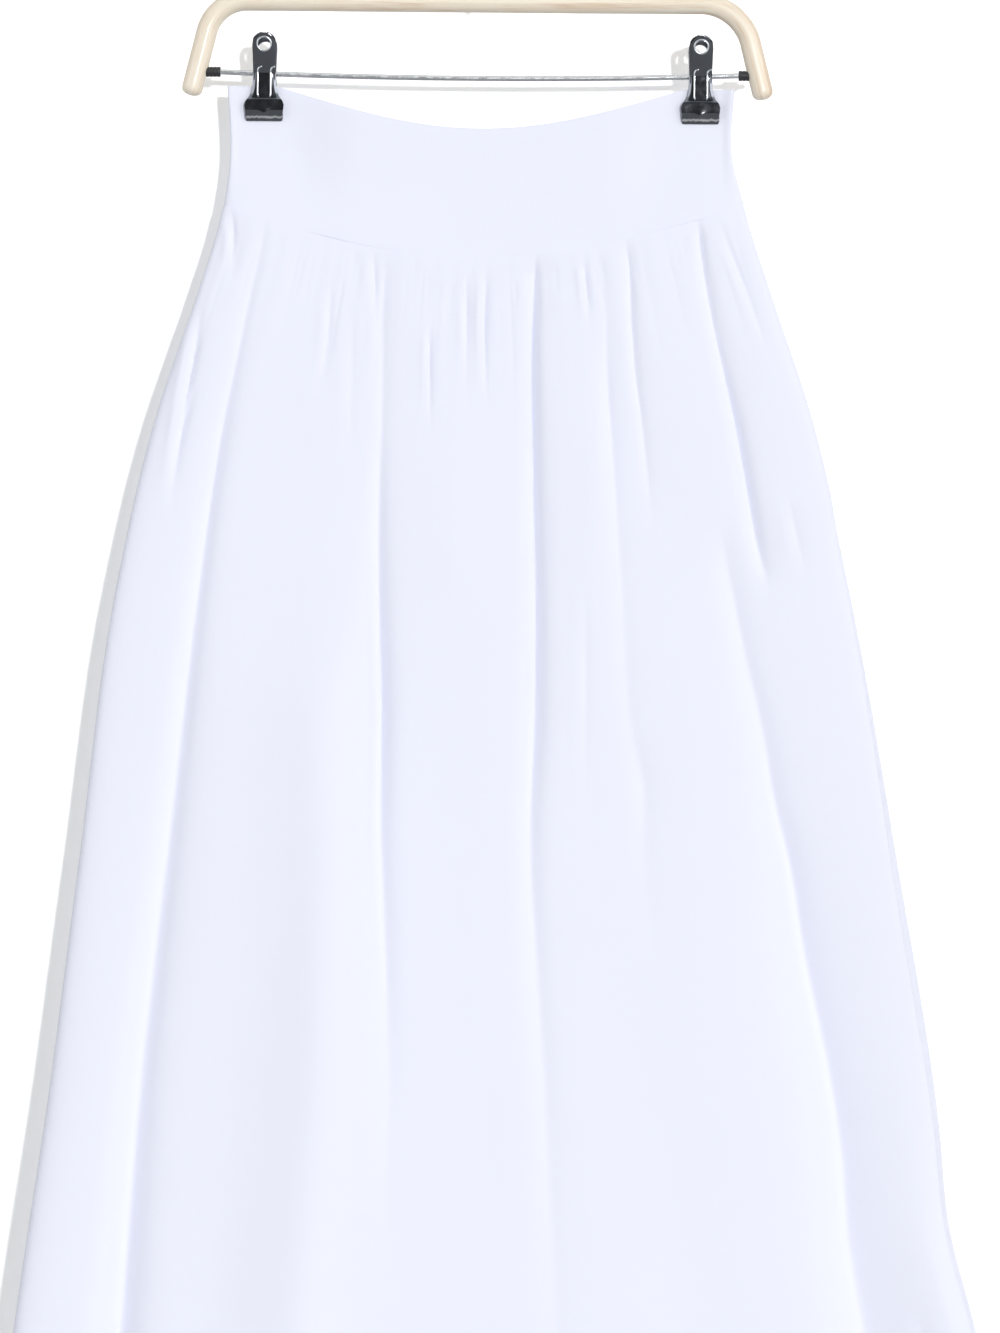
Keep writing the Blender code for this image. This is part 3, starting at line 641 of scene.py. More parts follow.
# Long folds: depth of the wide trough (a ridge if negative) and of the narrow valley in it, the
# widths of the trough's left and right flank and of the valley, and the route down the panel as
# (drop below the seam, place across from -1 to 1, strength)
frontFolds = (
    (0.0014, 0.0082, 0.014, 0.022, 0.0028, (
        (0, -.830, .15), (.064, -.821, .35), (.141, -.801, .75), (.291, -.778, .9), (.50, -.790, 1.1),
        (.619, -.797, 1.4), (.787, -.780, 1.8), (.913, -.772, 2.0))),
    (0.0022, 0.0062, 0.026, 0.012, 0.0026, (
        (.008, -.361, .2), (.069, -.335, .35), (.121, -.312, .4), (.182, -.298, .75), (.243, -.282, 1.25),
        (.316, -.261, 1.65), (.424, -.250, 1.3), (.512, -.230, .95), (.60, -.212, .5), (.74, -.205, 0))),
    (-.0145, 0.0, 0.040, 0.030, 0.003, (
        (.20, -.360, 0), (.27, -.374, .4), (.335, -.410, .8), (.42, -.393, 1), (.51, -.382, 1.1),
        (.60, -.379, 1.1), (.69, -.386, 1), (.777, -.390, .9), (.913, -.388, .8))),
    (0.0018, 0.0087, 0.014, 0.014, 0.0024, (
        (0, .225, .5), (.060, .192, .8), (.162, .169, .95), (.243, .163, 1), (.335, .150, 1.05),
        (.423, .130, .65), (.511, .138, .45), (.599, .150, .35), (.769, .165, .2), (.913, .175, .15))),
    (0.0012, 0.0053, 0.010, 0.014, 0.0020, (
        (-.004, .570, .6), (.017, .567, .7), (.06, .540, .65), (.099, .522, .65), (.128, .517, .5),
        (.177, .510, .3), (.216, .504, 0), (.30, .500, 0))),
    (0.0018, 0.0081, 0.014, 0.014, 0.0022, (
        (-.004, .852, .5), (.032, .826, .55), (.092, .806, .6), (.142, .798, .85), (.191, .792, .9),
        (.235, .793, .7), (.27, .806, 0), (.35, .820, 0))),
    (0.0100, 0.0076, 0.016, 0.070, 0.0030, (
        (.21, .700, 0), (.25, .703, .4), (.304, .713, .5), (.371, .734, .7), (.419, .742, .9),
        (.464, .760, 1.05), (.532, .768, 1.15), (.621, .790, 1.1), (.705, .800, 1), (.789, .792, .95),
        (.913, .780, 1))),
    (0.0016, 0.0025, 0.012, 0.016, 0.0026, (
        (.05, .457, .4), (.110, .424, 1.4), (.173, .410, 1), (.254, .404, .7), (.307, .398, .7),
        (.357, .402, .7), (.390, .420, .9), (.437, .410, .5), (.56, .420, 0))),
    (0.0080, 0.0, 0.020, 0.050, 0.004, (
        (.45, .770, 0), (.53, .775, .4), (.62, .790, .5), (.70, .805, .7), (.78, .812, 1),
        (.913, .812, 1.4))),
    (-.0062, 0.0, 0.045, 0.014, 0.003, (
        (.60, .950, 0), (.70, .955, .5), (.78, .960, 1), (.913, .960, 1.3))),
    (-.0016, 0.0, 0.010, 0.010, 0.003, ((.06, .385, 0), (.15, .358, 1), (.24, .327, .6), (.32, .310, 0))),
    (-.0032, 0.0, 0.060, 0.018, 0.003, (
        (.10, -.085, 0), (.16, -.075, .7), (.215, -.070, 1), (.26, -.075, .4), (.31, -.080, 0))),
    (-.0022, 0.0, 0.030, 0.030, 0.003, ((.45, -.020, 0), (.60, .060, .8), (.75, .050, .7), (.913, .040, 1))),
    (0.0024, 0.0, 0.030, 0.040, 0.003, ((.56, .390, 0), (.70, .420, .8), (.913, .440, 1.2))),
    (0.0020, 0.0, 0.030, 0.030, 0.003, ((.50, -.560, 0), (.70, -.570, .8), (.913, -.560, 1.2))),
)
backFolds = (
    (0.0040, 0.0050, 0.014, 0.020, 0.0026, (
        (0, -.80, .5), (.20, -.785, 1), (.45, -.77, 1.1), (.70, -.745, 1.3), (.913, -.72, 1.6))),
    (0.0030, 0.0047, 0.014, 0.012, 0.0022, (
        (0, -.55, .7), (.15, -.525, 1), (.35, -.505, .8), (.60, -.515, .3), (.913, -.52, 0))),
    (0.0036, 0.0056, 0.012, 0.022, 0.0026, (
        (.08, -.35, 0), (.20, -.325, .9), (.50, -.28, 1.1), (.70, -.27, .9), (.913, -.26, .9))),
    (0.0028, 0.0056, 0.012, 0.012, 0.0020, (
        (0, -.12, .8), (.10, -.11, 1), (.22, -.10, .9), (.45, -.06, 0), (.60, -.05, 0))),
    (0.0036, 0.0047, 0.020, 0.012, 0.0026, (
        (.02, .10, .2), (.20, .095, .9), (.45, .09, 1.2), (.70, .10, 1), (.913, .12, 1))),
    (0.0024, 0.0047, 0.010, 0.014, 0.0020, ((0, .36, .8), (.07, .345, 1), (.15, .33, .9), (.30, .33, 0))),
    (0.0040, 0.0040, 0.022, 0.012, 0.0028, (
        (.10, .47, 0), (.25, .465, .7), (.50, .46, 1), (.70, .475, 1.1), (.913, .50, 1.2))),
    (0.0040, 0.0056, 0.014, 0.020, 0.0026, (
        (0, .82, .6), (.15, .805, 1), (.45, .79, 1.1), (.70, .79, 1.1), (.913, .80, 1.3))),
    (-.0036, 0.0, 0.024, 0.030, 0.003, ((.36, -.10, 0), (.55, -.10, .8), (.913, -.08, 1.2))),
    (-.0030, 0.0, 0.030, 0.030, 0.003, ((.35, .28, 0), (.60, .28, .8), (.913, .30, 1.2))),
    (-.0026, 0.0, 0.026, 0.026, 0.003, ((.45, .64, 0), (.65, .64, .8), (.913, .66, 1.3))),
    (0.0026, 0.0, 0.034, 0.034, 0.003, ((.40, -.52, 0), (.65, -.52, .8), (.913, -.54, 1.3))),
)
# Fine creases: depth, half width, and the route as (drop below the seam, place across)
frontCreases = (
    (0.0032, 0.0022, ((.026, -.559), (.091, -.530), (.122, -.540))),
    (0.0022, 0.0030, ((.047, -.462), (.110, -.425), (.165, -.394))),
    (0.0032, 0.0020, ((.000, -.417), (.040, -.385), (.070, -.364))),
    (0.0040, 0.0016, ((.046, -.179), (.068, -.176), (.136, -.152))),
    (0.0032, 0.0016, ((.008, -.051), (.045, -.048), (.088, -.047))),
    (0.0043, 0.0018, ((.004, .028), (.043, .018), (.118, .027))),
    (0.0043, 0.0018, ((.006, .400), (.030, .394), (.056, .390))),
    (0.0036, 0.0022, ((.000, .918), (.060, .942), (.120, .950))),
    (0.0040, 0.0020, ((.000, -.968), (.022, -.940), (.048, -.908))),
    (0.0036, 0.0026, ((.120, -.909), (.149, -.918), (.225, -.893))),
    (0.0058, 0.0024, ((.066, -.980), (.121, -.944), (.215, -.899))),
    (0.0022, 0.0030, ((.200, .895), (.235, .900), (.275, .908))),
    (0.0014, 0.0026, ((.230, .301), (.330, .280), (.445, .256))),
    (0.0042, 0.0046, ((.780, .905), (.900, .905), (1.020, .905))),
)
backCreases = (
    (0.0043, 0.0024, ((.000, -.930), (.060, -.920), (.150, -.905))),
    (0.0036, 0.0020, ((.010, -.650), (.070, -.640), (.160, -.625))),
    (0.0040, 0.0020, ((.000, -.440), (.060, -.430), (.120, -.425))),
    (0.0029, 0.0018, ((.020, -.240), (.080, -.225), (.190, -.210))),
    (0.0036, 0.0020, ((.000, -.020), (.060, -.010), (.140, .000))),
    (0.0036, 0.0020, ((.010, .220), (.080, .215), (.170, .205))),
    (0.0040, 0.0020, ((.000, .600), (.050, .590), (.130, .575))),
    (0.0040, 0.0024, ((.040, .930), (.120, .915), (.260, .895))),
)
gatherForm = {
    "count": 30,
    "height": 0.00022,
    "heightAtSeam": 0.0001,
    "swell": 0.014,
    "reach": 0.085,
    "reachSpread": 0.035,
    "reachWaves": 7,
    "drifts": ((0.0040, 5, 0.7), (0.0025, 11, 0.0)),
    "crinkles": 66,
    "crinkleDepth": (0.00008, 0.0009),
    "crinkleWidth": (0.0011, 0.0022),
    "crinkleLength": (0.030, 0.150),
    "crinkleStart": 0.018,     # how far below the seam it starts at most
    "crinkleSpan": (0.045, 0.91),      # share of the width left free at the side, and share used
    "crinkleDrift": (0.15, 0.85),      # part of its own stretch in which each one lies
    "shortOnes": 1.8,          # power that makes more of them short than long
    "fullness": 2.1,           # width along the cloth, in half widths
    "rise": 0.25,
    "fall": 0.75,
}


def foldPush(folds, across, halfWidth, drop):
    # Each fold is a wide soft trough, exp(-distance/flank) rounded at its bottom, with a narrow
    # valley in it and a low ridge left of that. Its strength follows its route
    push = np.zeros_like(across)
    rows = drop[:, 0]
    growth = (1 + foldForm["valleyGrowth"] * rows / tubeForm["skirtDrop"])[:, None]
    opened = smoothStep(rows / foldForm["pressedReach"])[:, None]
    for trough, valley, left, right, width, route in folds:
        stops, places, strengths = zip(*route)
        place = skirtForm["nearness"] * smoothLookup(rows, stops, places)[:, None]
        away = (across - place) * halfWidth + skirtForm["shadeShift"]
        strength = np.clip(smoothLookup(rows, stops, strengths), 0, None)[:, None]
        strength = strength * (1 - foldForm["pressed"] * (1 - opened))
        wide = dip(away / np.where(away < 0, left, right), foldForm["troughRound"])
        widths = away / (width * growth)
        narrow = dip(widths, foldForm["valleyRound"])
        lip = bell((widths + foldForm["lipAway"]) / foldForm["lipWidth"])
        push = push - strength * (trough * wide + valley * (narrow - foldForm["lip"] * lip))
    return push


def creasePush(creases, across, halfWidth, drop):
    # A narrow valley along a route, deepest a third of the way down it, with a low ridge left of it
    push = np.zeros_like(across)
    rows = drop[:, 0]
    for depth, width, route in creases:
        stops, places = zip(*route)
        place = skirtForm["nearness"] * smoothLookup(rows, stops, places)[:, None]
        away = (across - place) * halfWidth + skirtForm["shadeShift"] / 2
        part = np.clip((drop - stops[0]) / (stops[-1] - stops[0]), 0, 1)
        strength = smoothStep(part / creaseForm["rise"]) * smoothStep((1 - part) / creaseForm["fall"])
        narrow = dip(away / width, creaseForm["valleyRound"])
        lip = bell((away + creaseForm["lipAway"] * width) / (creaseForm["lipWidth"] * width))
        push = push - creaseForm["valley"] * depth * strength * narrow
        push = push + creaseForm["lip"] * depth * strength * lip
    return push


def gatherPush(side, halfWidth, drop, share):
    # Regular gathers, unevenly spaced by two slow waves, that swell out of the seam and fade
    counts = np.linspace(0, 1, tubeForm["ovalPoints"])
    spaced = counts + sum(
        size * (np.sin(2 * math.pi * waves * counts + phase) - math.sin(phase))
        for size, waves, phase in gatherForm["drifts"]
    )
    gather = np.interp(share, spaced, counts)
    atSeam, below = gatherForm["heightAtSeam"], gatherForm["height"]
    height = atSeam + (below - atSeam) * smoothStep(drop / gatherForm["swell"])
    waves = np.sin(2 * math.pi * gatherForm["reachWaves"] * gather + 1)
    reach = gatherForm["reach"] + gatherForm["reachSpread"] * waves
    push = height * bell(drop / reach) * np.cos(2 * math.pi * gatherForm["count"] * gather)
    # Crinkles between them: narrow valleys of uneven length, depth and width
    rng = np.random.default_rng(11 if side == front else 23)
    count, (free, used) = gatherForm["crinkles"], gatherForm["crinkleSpan"]
    places = free + used * (np.arange(count) + rng.uniform(*gatherForm["crinkleDrift"], count)) / count
    powers = (("crinkleDepth", 1.0), ("crinkleWidth", 1.0), ("crinkleLength", gatherForm["shortOnes"]))
    draws = []
    for key, power in powers:
        low, high = gatherForm[key]
        draws.append(low + (high - low) * rng.random(count) ** power)
    starts = gatherForm["crinkleStart"] * rng.random(count)
    for place, depth, width, length, start in zip(places, *draws, starts):
        away = (share - place) * gatherForm["fullness"] * halfWidth
        part = np.clip((drop - start) / length, 0, 1)
        strength = smoothStep(part / gatherForm["rise"]) * smoothStep((1 - part) / gatherForm["fall"])
        push = push - depth * strength * dip(away / width, creaseForm["valleyRound"])
    return push


def makeSkirtPanel(name, side, folds, creases, node):
    shares = np.linspace(0, 1, skirtForm["columns"])
    below = tubeForm["skirtDrop"] * np.linspace(0, 1, skirtForm["rows"]) ** skirtForm["rowGrowth"]

    def pushOf(across, halfWidth, drop, share):
        # Gathers, folds and creases, with soft waves as products of sines, and the tucked top edge
        under = drop - tubeForm["yokeDepth"]
        waves = np.sin(7.3 * across + 5.1 * under + side) * np.sin(4.4 * under + 1.9 * across)
        finer = np.sin(17 * across - 9 * under + 2 * side)
        soft = skirtForm["swell"] * waves
        soft = soft + skirtForm["ripple"] * finer * smoothStep(under / skirtForm["rippleReach"])
        return (
            gatherPush(side, halfWidth, under, share)
            + foldPush(folds, across, halfWidth, under)
            + creasePush(creases, across, halfWidth, under)
            + soft
            - skirtForm["tuckDepth"] * bell(under / skirtForm["tuckReach"])
        )

    middle = clothMiddle(side, tubeForm["yokeDepth"] + below, shares, pushOf)
    middle[0, :, 2] += skirtForm["tuck"]
    flat = flatGrid(shares * skirtForm["flatWidth"], below)
    shell = shellPart(middle, flat, skirtForm["thickness"], side)
    return makePiece(name, [shell], clothLook, "cloth", node), middle


yokeFront = makeYoke("yokeFront", front, "yoke_front")
yokeBack = makeYoke("yokeBack", back, "yoke_back")
skirtFront, frontSurface = makeSkirtPanel("skirtFront", front, frontFolds, frontCreases, "skirt_front")
skirtBack, backSurface = makeSkirtPanel("skirtBack", back, backFolds, backCreases, "skirt_back")
print("cloth made")


# Hem: a line of straight stitches above the lower edge
stitchForm = {
    "up": 0.0150,
    "length": 0.0026,
    "gap": 0.0008,
    "radius": 0.00022,
    "margin": 0.004,           # bare cloth at both ends of the line
    "sides": 5,
    # Along a stitch: share of its length, share of its radius, and how many radii it stands out
    "rings": ((0.0, 0.35, -0.6), (0.2, 0.85, 0.4), (0.5, 1.0, 0.8), (0.8, 0.85, 0.4), (1.0, 0.35, -0.6)),
}


def makeHemStitches(name, middle, side):
    # Stitches at even steps along the panel's row that is nearest to the hem's inner edge: each
    # is a short bar, thicker in its middle and sunk at both ends
    centreColumn = middle.shape[1] // 2
    heights = np.linalg.norm(middle[:, centreColumn] - middle[-1, centreColumn], axis=-1)
    row = int(np.argmin(np.abs(heights - stitchForm["up"])))
    down, along = np.gradient(middle, axis=0)[row], np.gradient(middle, axis=1)[row]
    normals = side * unit(np.cross(along, down))
    line = middle[row] + normals * (skirtForm["thickness"] / 2)
    run = runAlong(line)
    margin = stitchForm["margin"]
    starts = np.arange(margin, run[-1] - margin, stitchForm["length"] + stitchForm["gap"])
    shares, swell, rise = np.array(stitchForm["rings"]).T
    swell, rise = swell * stitchForm["radius"], rise * stitchForm["radius"]
    at = starts[:, None] + shares[None, :] * stitchForm["length"]

    def onLine(values):
        return np.stack([np.interp(at, run, values[:, k]) for k in range(3)], axis=-1)

    centres = onLine(line) + onLine(normals) * rise[None, :, None]
    upWay = unit(-onLine(down))[:, :, None]
    outWay = unit(onLine(normals))[:, :, None]
    sides = stitchForm["sides"]
    angles = 2 * math.pi * np.arange(sides) / sides
    turned = np.cos(angles)[None, None, :, None] * upWay + np.sin(angles)[None, None, :, None] * outWay
    rings = centres[:, :, None] + swell[None, :, None, None] * turned
    numbers = np.arange(rings[..., 0].size).reshape(rings.shape[:3])
    wrapped = np.concatenate([numbers, numbers[:, :, :1]], axis=2)
    firstEnds, lastEnds = numbers[:, 0], numbers[:, -1]
    ends = [firstEnds, lastEnds[:, ::-1]] if side == back else [firstEnds[:, ::-1], lastEnds]
    faces = gridFaces(wrapped, side == back) + np.concatenate(ends).tolist()
    uv = np.stack(np.broadcast_arrays(at[:, :, None], swell[None, :, None] * angles), axis=-1)
    return makePiece(name, [(rings.reshape(-1, 3), faces, uv.reshape(-1, 2))], threadLook, "cloth")


hemStitchesFront = makeHemStitches("hemStitchesFront", frontSurface, front)
hemStitchesBack = makeHemStitches("hemStitchesBack", backSurface, back)
print("stitches made")


# Hook: an S of round wire that stands in the frame
hookForm = {
    "innerRadius": 0.018,
    "wireRadius": 0.002,
    "tipAngle": 205,
    "neckAngle": -60,
    "stemDepth": 0.009,
}
frameForm = {
    "drop": 0.0792,
    "radius": 0.0076,
    "legLean": math.radians(14),
    "legs": ((-1, 0.2105, 0.030), (1, 0.2075, 0.038)),  # side, place of the tip, bend's radius
    "tipBelowRod": 0.017,
    # Back from the tip, share of the radius there
    "tipRounding": (
        (0.0, 0.30), (0.0003, 0.46), (0.0009, 0.66), (0.0019, 0.84), (0.0034, 0.95), (0.0055, 1.0),
    ),
    "unevenness": 0.00012,     # where the stick is thicker than this radius
    "unevenFrom": 0.007,
}
rodForm = {
    "drop": 0.1315,            # of its ends
    "bow": 0.0033,             # how far its middle sags below them under the cloth's weight
    "radius": 0.0019,
    "halfLength": 0.2045,
    "bevel": 0.0004,
    "steps": 60,
}
capForm = {
    "radius": 0.0037,
    "innerEnd": 0.1888,
    "outerEnd": 0.1995,
    "rounding": 0.0007,
    "clearance": 0.0002,       # round the rod
    "grooves": 3,
    "grooveDepth": 0.0003,
    "grooveHalfWidth": 0.0005,
}


def rodDrop(x):
    # Drop of the rod's axis: a parabola between the caps, and level in them
    bowed = np.maximum(0.0, 1 - (np.asarray(x) / capForm["innerEnd"]) ** 2)
    return rodForm["drop"] + rodForm["bow"] * bowed


def inPlane(line):
    # Points (x, z) of the hanger's middle plane as points in space
    return np.column_stack([line[:, 0], np.zeros(len(line)), line[:, 1]])


def makeHook():
    # An arc from the tip round to the neck, an arc back to the middle, and the straight stem
    radius = hookForm["innerRadius"] + hookForm["wireRadius"]
    centre = (0.0, -hookForm["innerRadius"])
    neck = math.radians(-hookForm["neckAngle"])
    backRadius = radius * math.cos(neck) / (1 - math.cos(neck))
    reach = radius + backRadius
    backCentre = (reach * math.cos(neck), centre[1] - reach * math.sin(neck))
    stemEnd = -frameForm["drop"] + frameForm["radius"] - hookForm["stemDepth"]
    bow = arcPoints(centre, radius, hookForm["tipAngle"], hookForm["neckAngle"], 72)
    neckLine = arcPoints(backCentre, backRadius, 180 + hookForm["neckAngle"], 180, 18)[1:]
    stem = np.column_stack([np.zeros(8), np.linspace(neckLine[-1, 1], stemEnd, 9)[1:]])
    line = inPlane(np.concatenate([bow, neckLine, stem]))
    path, radii = roundEnds(line, hookForm["wireRadius"], 7, (True, False))
    return makePiece("hook", [tubePart(path, radii, 24, (0, 1, 0))], chromeLook, "chrome", "hanger_hook")


def legLine(side, tipAcross, bendRadius):
    # Half of the stick's middle line: an arc that turns it down, a straight leg, a rounded tip
    tipZ = -rodForm["drop"] - frameForm["tipBelowRod"]
    lean = frameForm["legLean"]
    cornerX = tipAcross - math.tan(lean) * (-frameForm["drop"] - tipZ)
    turn = math.pi / 2 - lean
    bendCentre = (cornerX - bendRadius * math.tan(turn / 2), -frameForm["drop"] - bendRadius)
    bend = arcPoints(bendCentre, bendRadius, 90, 90 - math.degrees(turn), 28)
    along = np.array([math.sin(lean), -math.cos(lean)])
    tip = np.array([tipAcross, tipZ])
    backs = np.array(frameForm["tipRounding"])[:, 0]
    leg = np.linspace(bend[-1], tip - along * backs[-1], 12)[1:-1]
    return np.concatenate([bend, leg, tip - along * backs[::-1][:, None]]) * (side, 1)


def makeFrame():
    # The stick: both legs and the bar between them, a little uneven in thickness but at the tips
    left, right = (legLine(*leg) for leg in frameForm["legs"])
    line = np.concatenate([left[::-1], np.linspace(left[0], right[0], 60)[1:-1], right])
    radii = np.full(len(line), frameForm["radius"])
    shares = np.array(frameForm["tipRounding"])[:, 1]
    radii[: len(shares)] *= shares
    radii[-len(shares):] *= shares[::-1]
    run = runAlong(line)
    thick = radii > frameForm["unevenFrom"]
    radii += frameForm["unevenness"] * np.sin(31 * run + 1) * np.sin(12 * run) * thick
    part = tubePart(inPlane(line), radii, 48, (0, 1, 0))
    return makePiece("bentFrame", [part], woodLook, "bent_wood", "hanger_frame")


def makeRod():
    # A round bar along the bowed axis, with bevelled ends
    half, radius, bevel = rodForm["halfLength"], rodForm["radius"], rodForm["bevel"]
    x = np.concatenate([[-half], np.linspace(-half + bevel, half - bevel, rodForm["steps"] + 1), [half]])
    radii = np.where(np.abs(x) < half, radius, radius - bevel)
    path = np.column_stack([x, np.zeros(len(x)), -rodDrop(x)])
    return makePiece("rod", [tubePart(path, radii, 32, (0, 0, 1))], rodLook, "chrome", "hanger_rod")


def makeCap(name, sideways, node):
    # A turned sleeve with rounded ends and shallow grip grooves, as (place along, radius)
    half = (capForm["outerEnd"] - capForm["innerEnd"]) / 2
    radius, rounding = capForm["radius"], capForm["rounding"]
    swing = np.radians(np.linspace(0, 90, 6))
    end = [(-half, rodForm["radius"] + capForm["clearance"])]
    end += [(-half + rounding * (1 - math.cos(a)), radius - rounding * (1 - math.sin(a))) for a in swing]
    wide, low = capForm["grooveHalfWidth"], radius - capForm["grooveDepth"]
    grooves = []
    for x in np.linspace(-0.5, 0.5, capForm["grooves"]) * half:
        grooves += [(x - wide, radius), (x - wide / 2, low), (x + wide / 2, low), (x + wide, radius)]
    profile = np.array(end + grooves + [(-x, r) for x, r in reversed(end)])
    middleX = sideways * (capForm["innerEnd"] + capForm["outerEnd"]) / 2
    level = np.full(len(profile), -rodForm["drop"])
    path = np.column_stack([middleX + profile[:, 0], np.zeros(len(profile)), level])
    part = tubePart(path, profile[:, 1], 40, (0, 0, 1))
    return makePiece(name, [part], rubberLook, "black_rubber", node)


hook = makeHook()
bentFrame = makeFrame()
rod = makeRod()
capLeft = makeCap("capLeft", -1, "rod_cap_left")
capRight = makeCap("capRight", 1, "rod_cap_right")
print("hanger made")

# Clips: stamped plates with a rimmed hole and ears round the rod, a coil spring and its wires
clipForm = {
    "across": (-0.1566, 0.1611),   # the left one and the right one, before the hanger is turned
    "thickness": 0.0009,
    "edgeCurl": 0.0011,        # how far the long edges curl back, from this share of the half width
    "curlFrom": 0.62,
    "tabCurl": 0.45,           # share of the curl that the finger tab keeps
    "neck": (-0.0195, 0.004),  # where the curl begins above the jaw, and how fast
    "tab": (0.006, 0.006),     # and where the tab begins
    # Pressed into or out of the jaw: height, half height, depth
    "channel": (-0.0312, 0.0011, -0.00055),
    "boss": (-0.0298, 0.0019, 0.0009),
    "shoulder": (-0.0200, 0.0009, 0.0005),
    "bossWidth": 0.20,
    "holeRadius": 0.0048,
    "holeHeight": 0.0205,
    "cutterReach": 0.004,
    "rimRadius": 0.00066,
    "rimOut": 0.4,             # from the hole's edge in rim radii, and off the plate in thicknesses
    "rimRise": 0.55,
    "earAcross": 0.0074,
    "earThickness": 0.0008,
    "earRadius": 0.0036,
    "earRoot": 0.0052,         # half its height on the plate
    "earInset": 0.0011,        # of the back plate's ears, which lie inside the front plate's
    # Height above the rod's axis, half the width, stand-off from the cloth's middle plane
    "outline": (
        (0.0284, 0.0022, 0.0121), (0.0273, 0.0050, 0.0118), (0.0252, 0.0074, 0.0113),
        (0.0215, 0.0084, 0.0105), (0.0150, 0.0084, 0.0091), (0.0085, 0.0082, 0.0076),
        (0.0030, 0.0080, 0.0055), (0.0000, 0.0080, 0.0048), (-0.0060, 0.0083, 0.0048),
        (-0.0130, 0.0091, 0.0051), (-0.0180, 0.0112, 0.0052), (-0.0205, 0.0134, 0.0053),
        (-0.0290, 0.0136, 0.0051), (-0.0328, 0.0136, 0.0037), (-0.0346, 0.0128, 0.0027),
    ),
}
wireForm = {
    "radius": 0.0006,
    "across": 0.0047,
    "clearance": 0.00015,
    "sink": 0.0019,            # how far it goes in, below the height at which it does so
    "sinkHeight": -0.0166,
    "sinkRamp": 0.0016,
    # Share of the half spread, height: from the turned tip down to the middle of the jaw
    "tip": ((0.42, 0.0042), (0.80, 0.0034)),
    "leg": (
        (1.00, 0.0014), (1.00, -0.0040), (1.00, -0.0100), (1.00, -0.0155), (0.80, -0.0182), (0.30, -0.0190),
    ),
}
springForm = {"radius": 0.0034, "wire": 0.0006, "turns": 8, "halfLength": 0.0050}
plateTable = np.array(clipForm["outline"])[::-1]


def plateStandOff(heights):
    # Distance from the cloth's middle plane, straight between the outline's rows
    return np.interp(heights, plateTable[:, 0], plateTable[:, 2])


def plateMiddle(across, side):
    # The plate's middle surface: its outline carried down, with its edges and its jaw pressed
    steps = [np.linspace(a, b, 4)[:-1] for a, b in zip(plateTable[:-1, 0], plateTable[1:, 0])]
    heights = np.concatenate([*steps, plateTable[-1:, 0]])[::-1]
    halfWidth, standOff = (smoothLookup(heights, plateTable[:, 0], plateTable[:, k]) for k in (1, 2))
    places = np.linspace(-1, 1, 25)
    (neck, neckRamp), (tab, tabRamp) = clipForm["neck"], clipForm["tab"]
    edge = np.clip((np.abs(places) - clipForm["curlFrom"]) / (1 - clipForm["curlFrom"]), 0, 1)[None, :] ** 2
    curl = clipForm["edgeCurl"] * smoothStep((heights - neck) / neckRamp)[:, None] * edge
    curl = curl * (1 - (1 - clipForm["tabCurl"]) * smoothStep((heights - tab) / tabRamp)[:, None])

    def pressed(name):
        place, halfHeight, depth = clipForm[name]
        return depth * bell((heights - place) / halfHeight)[:, None]

    boss = pressed("boss") * bell(places / clipForm["bossWidth"])[None, :]
    x = across + places[None, :] * halfWidth[:, None]
    y = side * (standOff[:, None] - curl + pressed("channel") + boss + pressed("shoulder"))
    z = np.broadcast_to((heights - rodDrop(across))[:, None], x.shape)
    return np.stack([x, y, z], axis=-1)


def makePlate(name, across, side, node):
    # A shell about the plate's middle surface, with a hole cut square to the finger tab, whose
    # slope there is that between the two nearest rows of the outline
    middle = plateMiddle(across, side)
    flat = middle[..., [0, 2]] - (across, 0)
    shell = shellPart(middle, flat, clipForm["thickness"], side)
    piece = makePiece(name, [shell], clipLook, "clip_steel", node)
    height = clipForm["holeHeight"]
    place = np.array([across, side * float(plateStandOff(height)), height - rodDrop(across)])
    tabTable = plateTable[np.searchsorted(plateTable[:, 0], height) - 1:][:2]
    rise, run = tabTable[1, 2] - tabTable[0, 2], tabTable[1, 0] - tabTable[0, 0]
    slope = math.atan2(rise, run)
    normal = np.array([0.0, side * math.cos(slope), -math.sin(slope)])
    cutHole(piece, place, normal, clipForm["holeRadius"])
    addRimAndEars(piece, across, side, place, normal)
    return piece


def cutHole(piece, place, normal, radius):
    # Takes a round hole out of a closed mesh with a cylinder along the normal
    reach = clipForm["cutterReach"]
    path = place[None, :] + np.linspace(-reach, reach, 2)[:, None] * normal[None, :]
    points, faces, uvs = tubePart(path, radius, 40, (1, 0, 0))
    cutterMesh = bpy.data.meshes.new("holeCutter")
    cutterMesh.from_pydata(points.tolist(), [], faces)
    cutter = placeNew("holeCutter", cutterMesh)
    boolean = piece.modifiers.new("hole", "BOOLEAN")
    boolean.operation = "DIFFERENCE"
    boolean.solver = "EXACT"
    boolean.object = cutter
    bpy.context.view_layer.update()
    cutMesh = bpy.data.meshes.new_from_object(piece.evaluated_get(bpy.context.evaluated_depsgraph_get()))
    piece.modifiers.clear()
    takeMesh(piece, cutMesh)
    bpy.data.objects.remove(cutter)
    bpy.data.meshes.remove(cutterMesh)


def takeMesh(piece, mesh):
    # Gives a piece another mesh in place of its own
    plain = piece.data
    piece.data = mesh
    bpy.data.meshes.remove(plain)
    mesh.name = piece.name


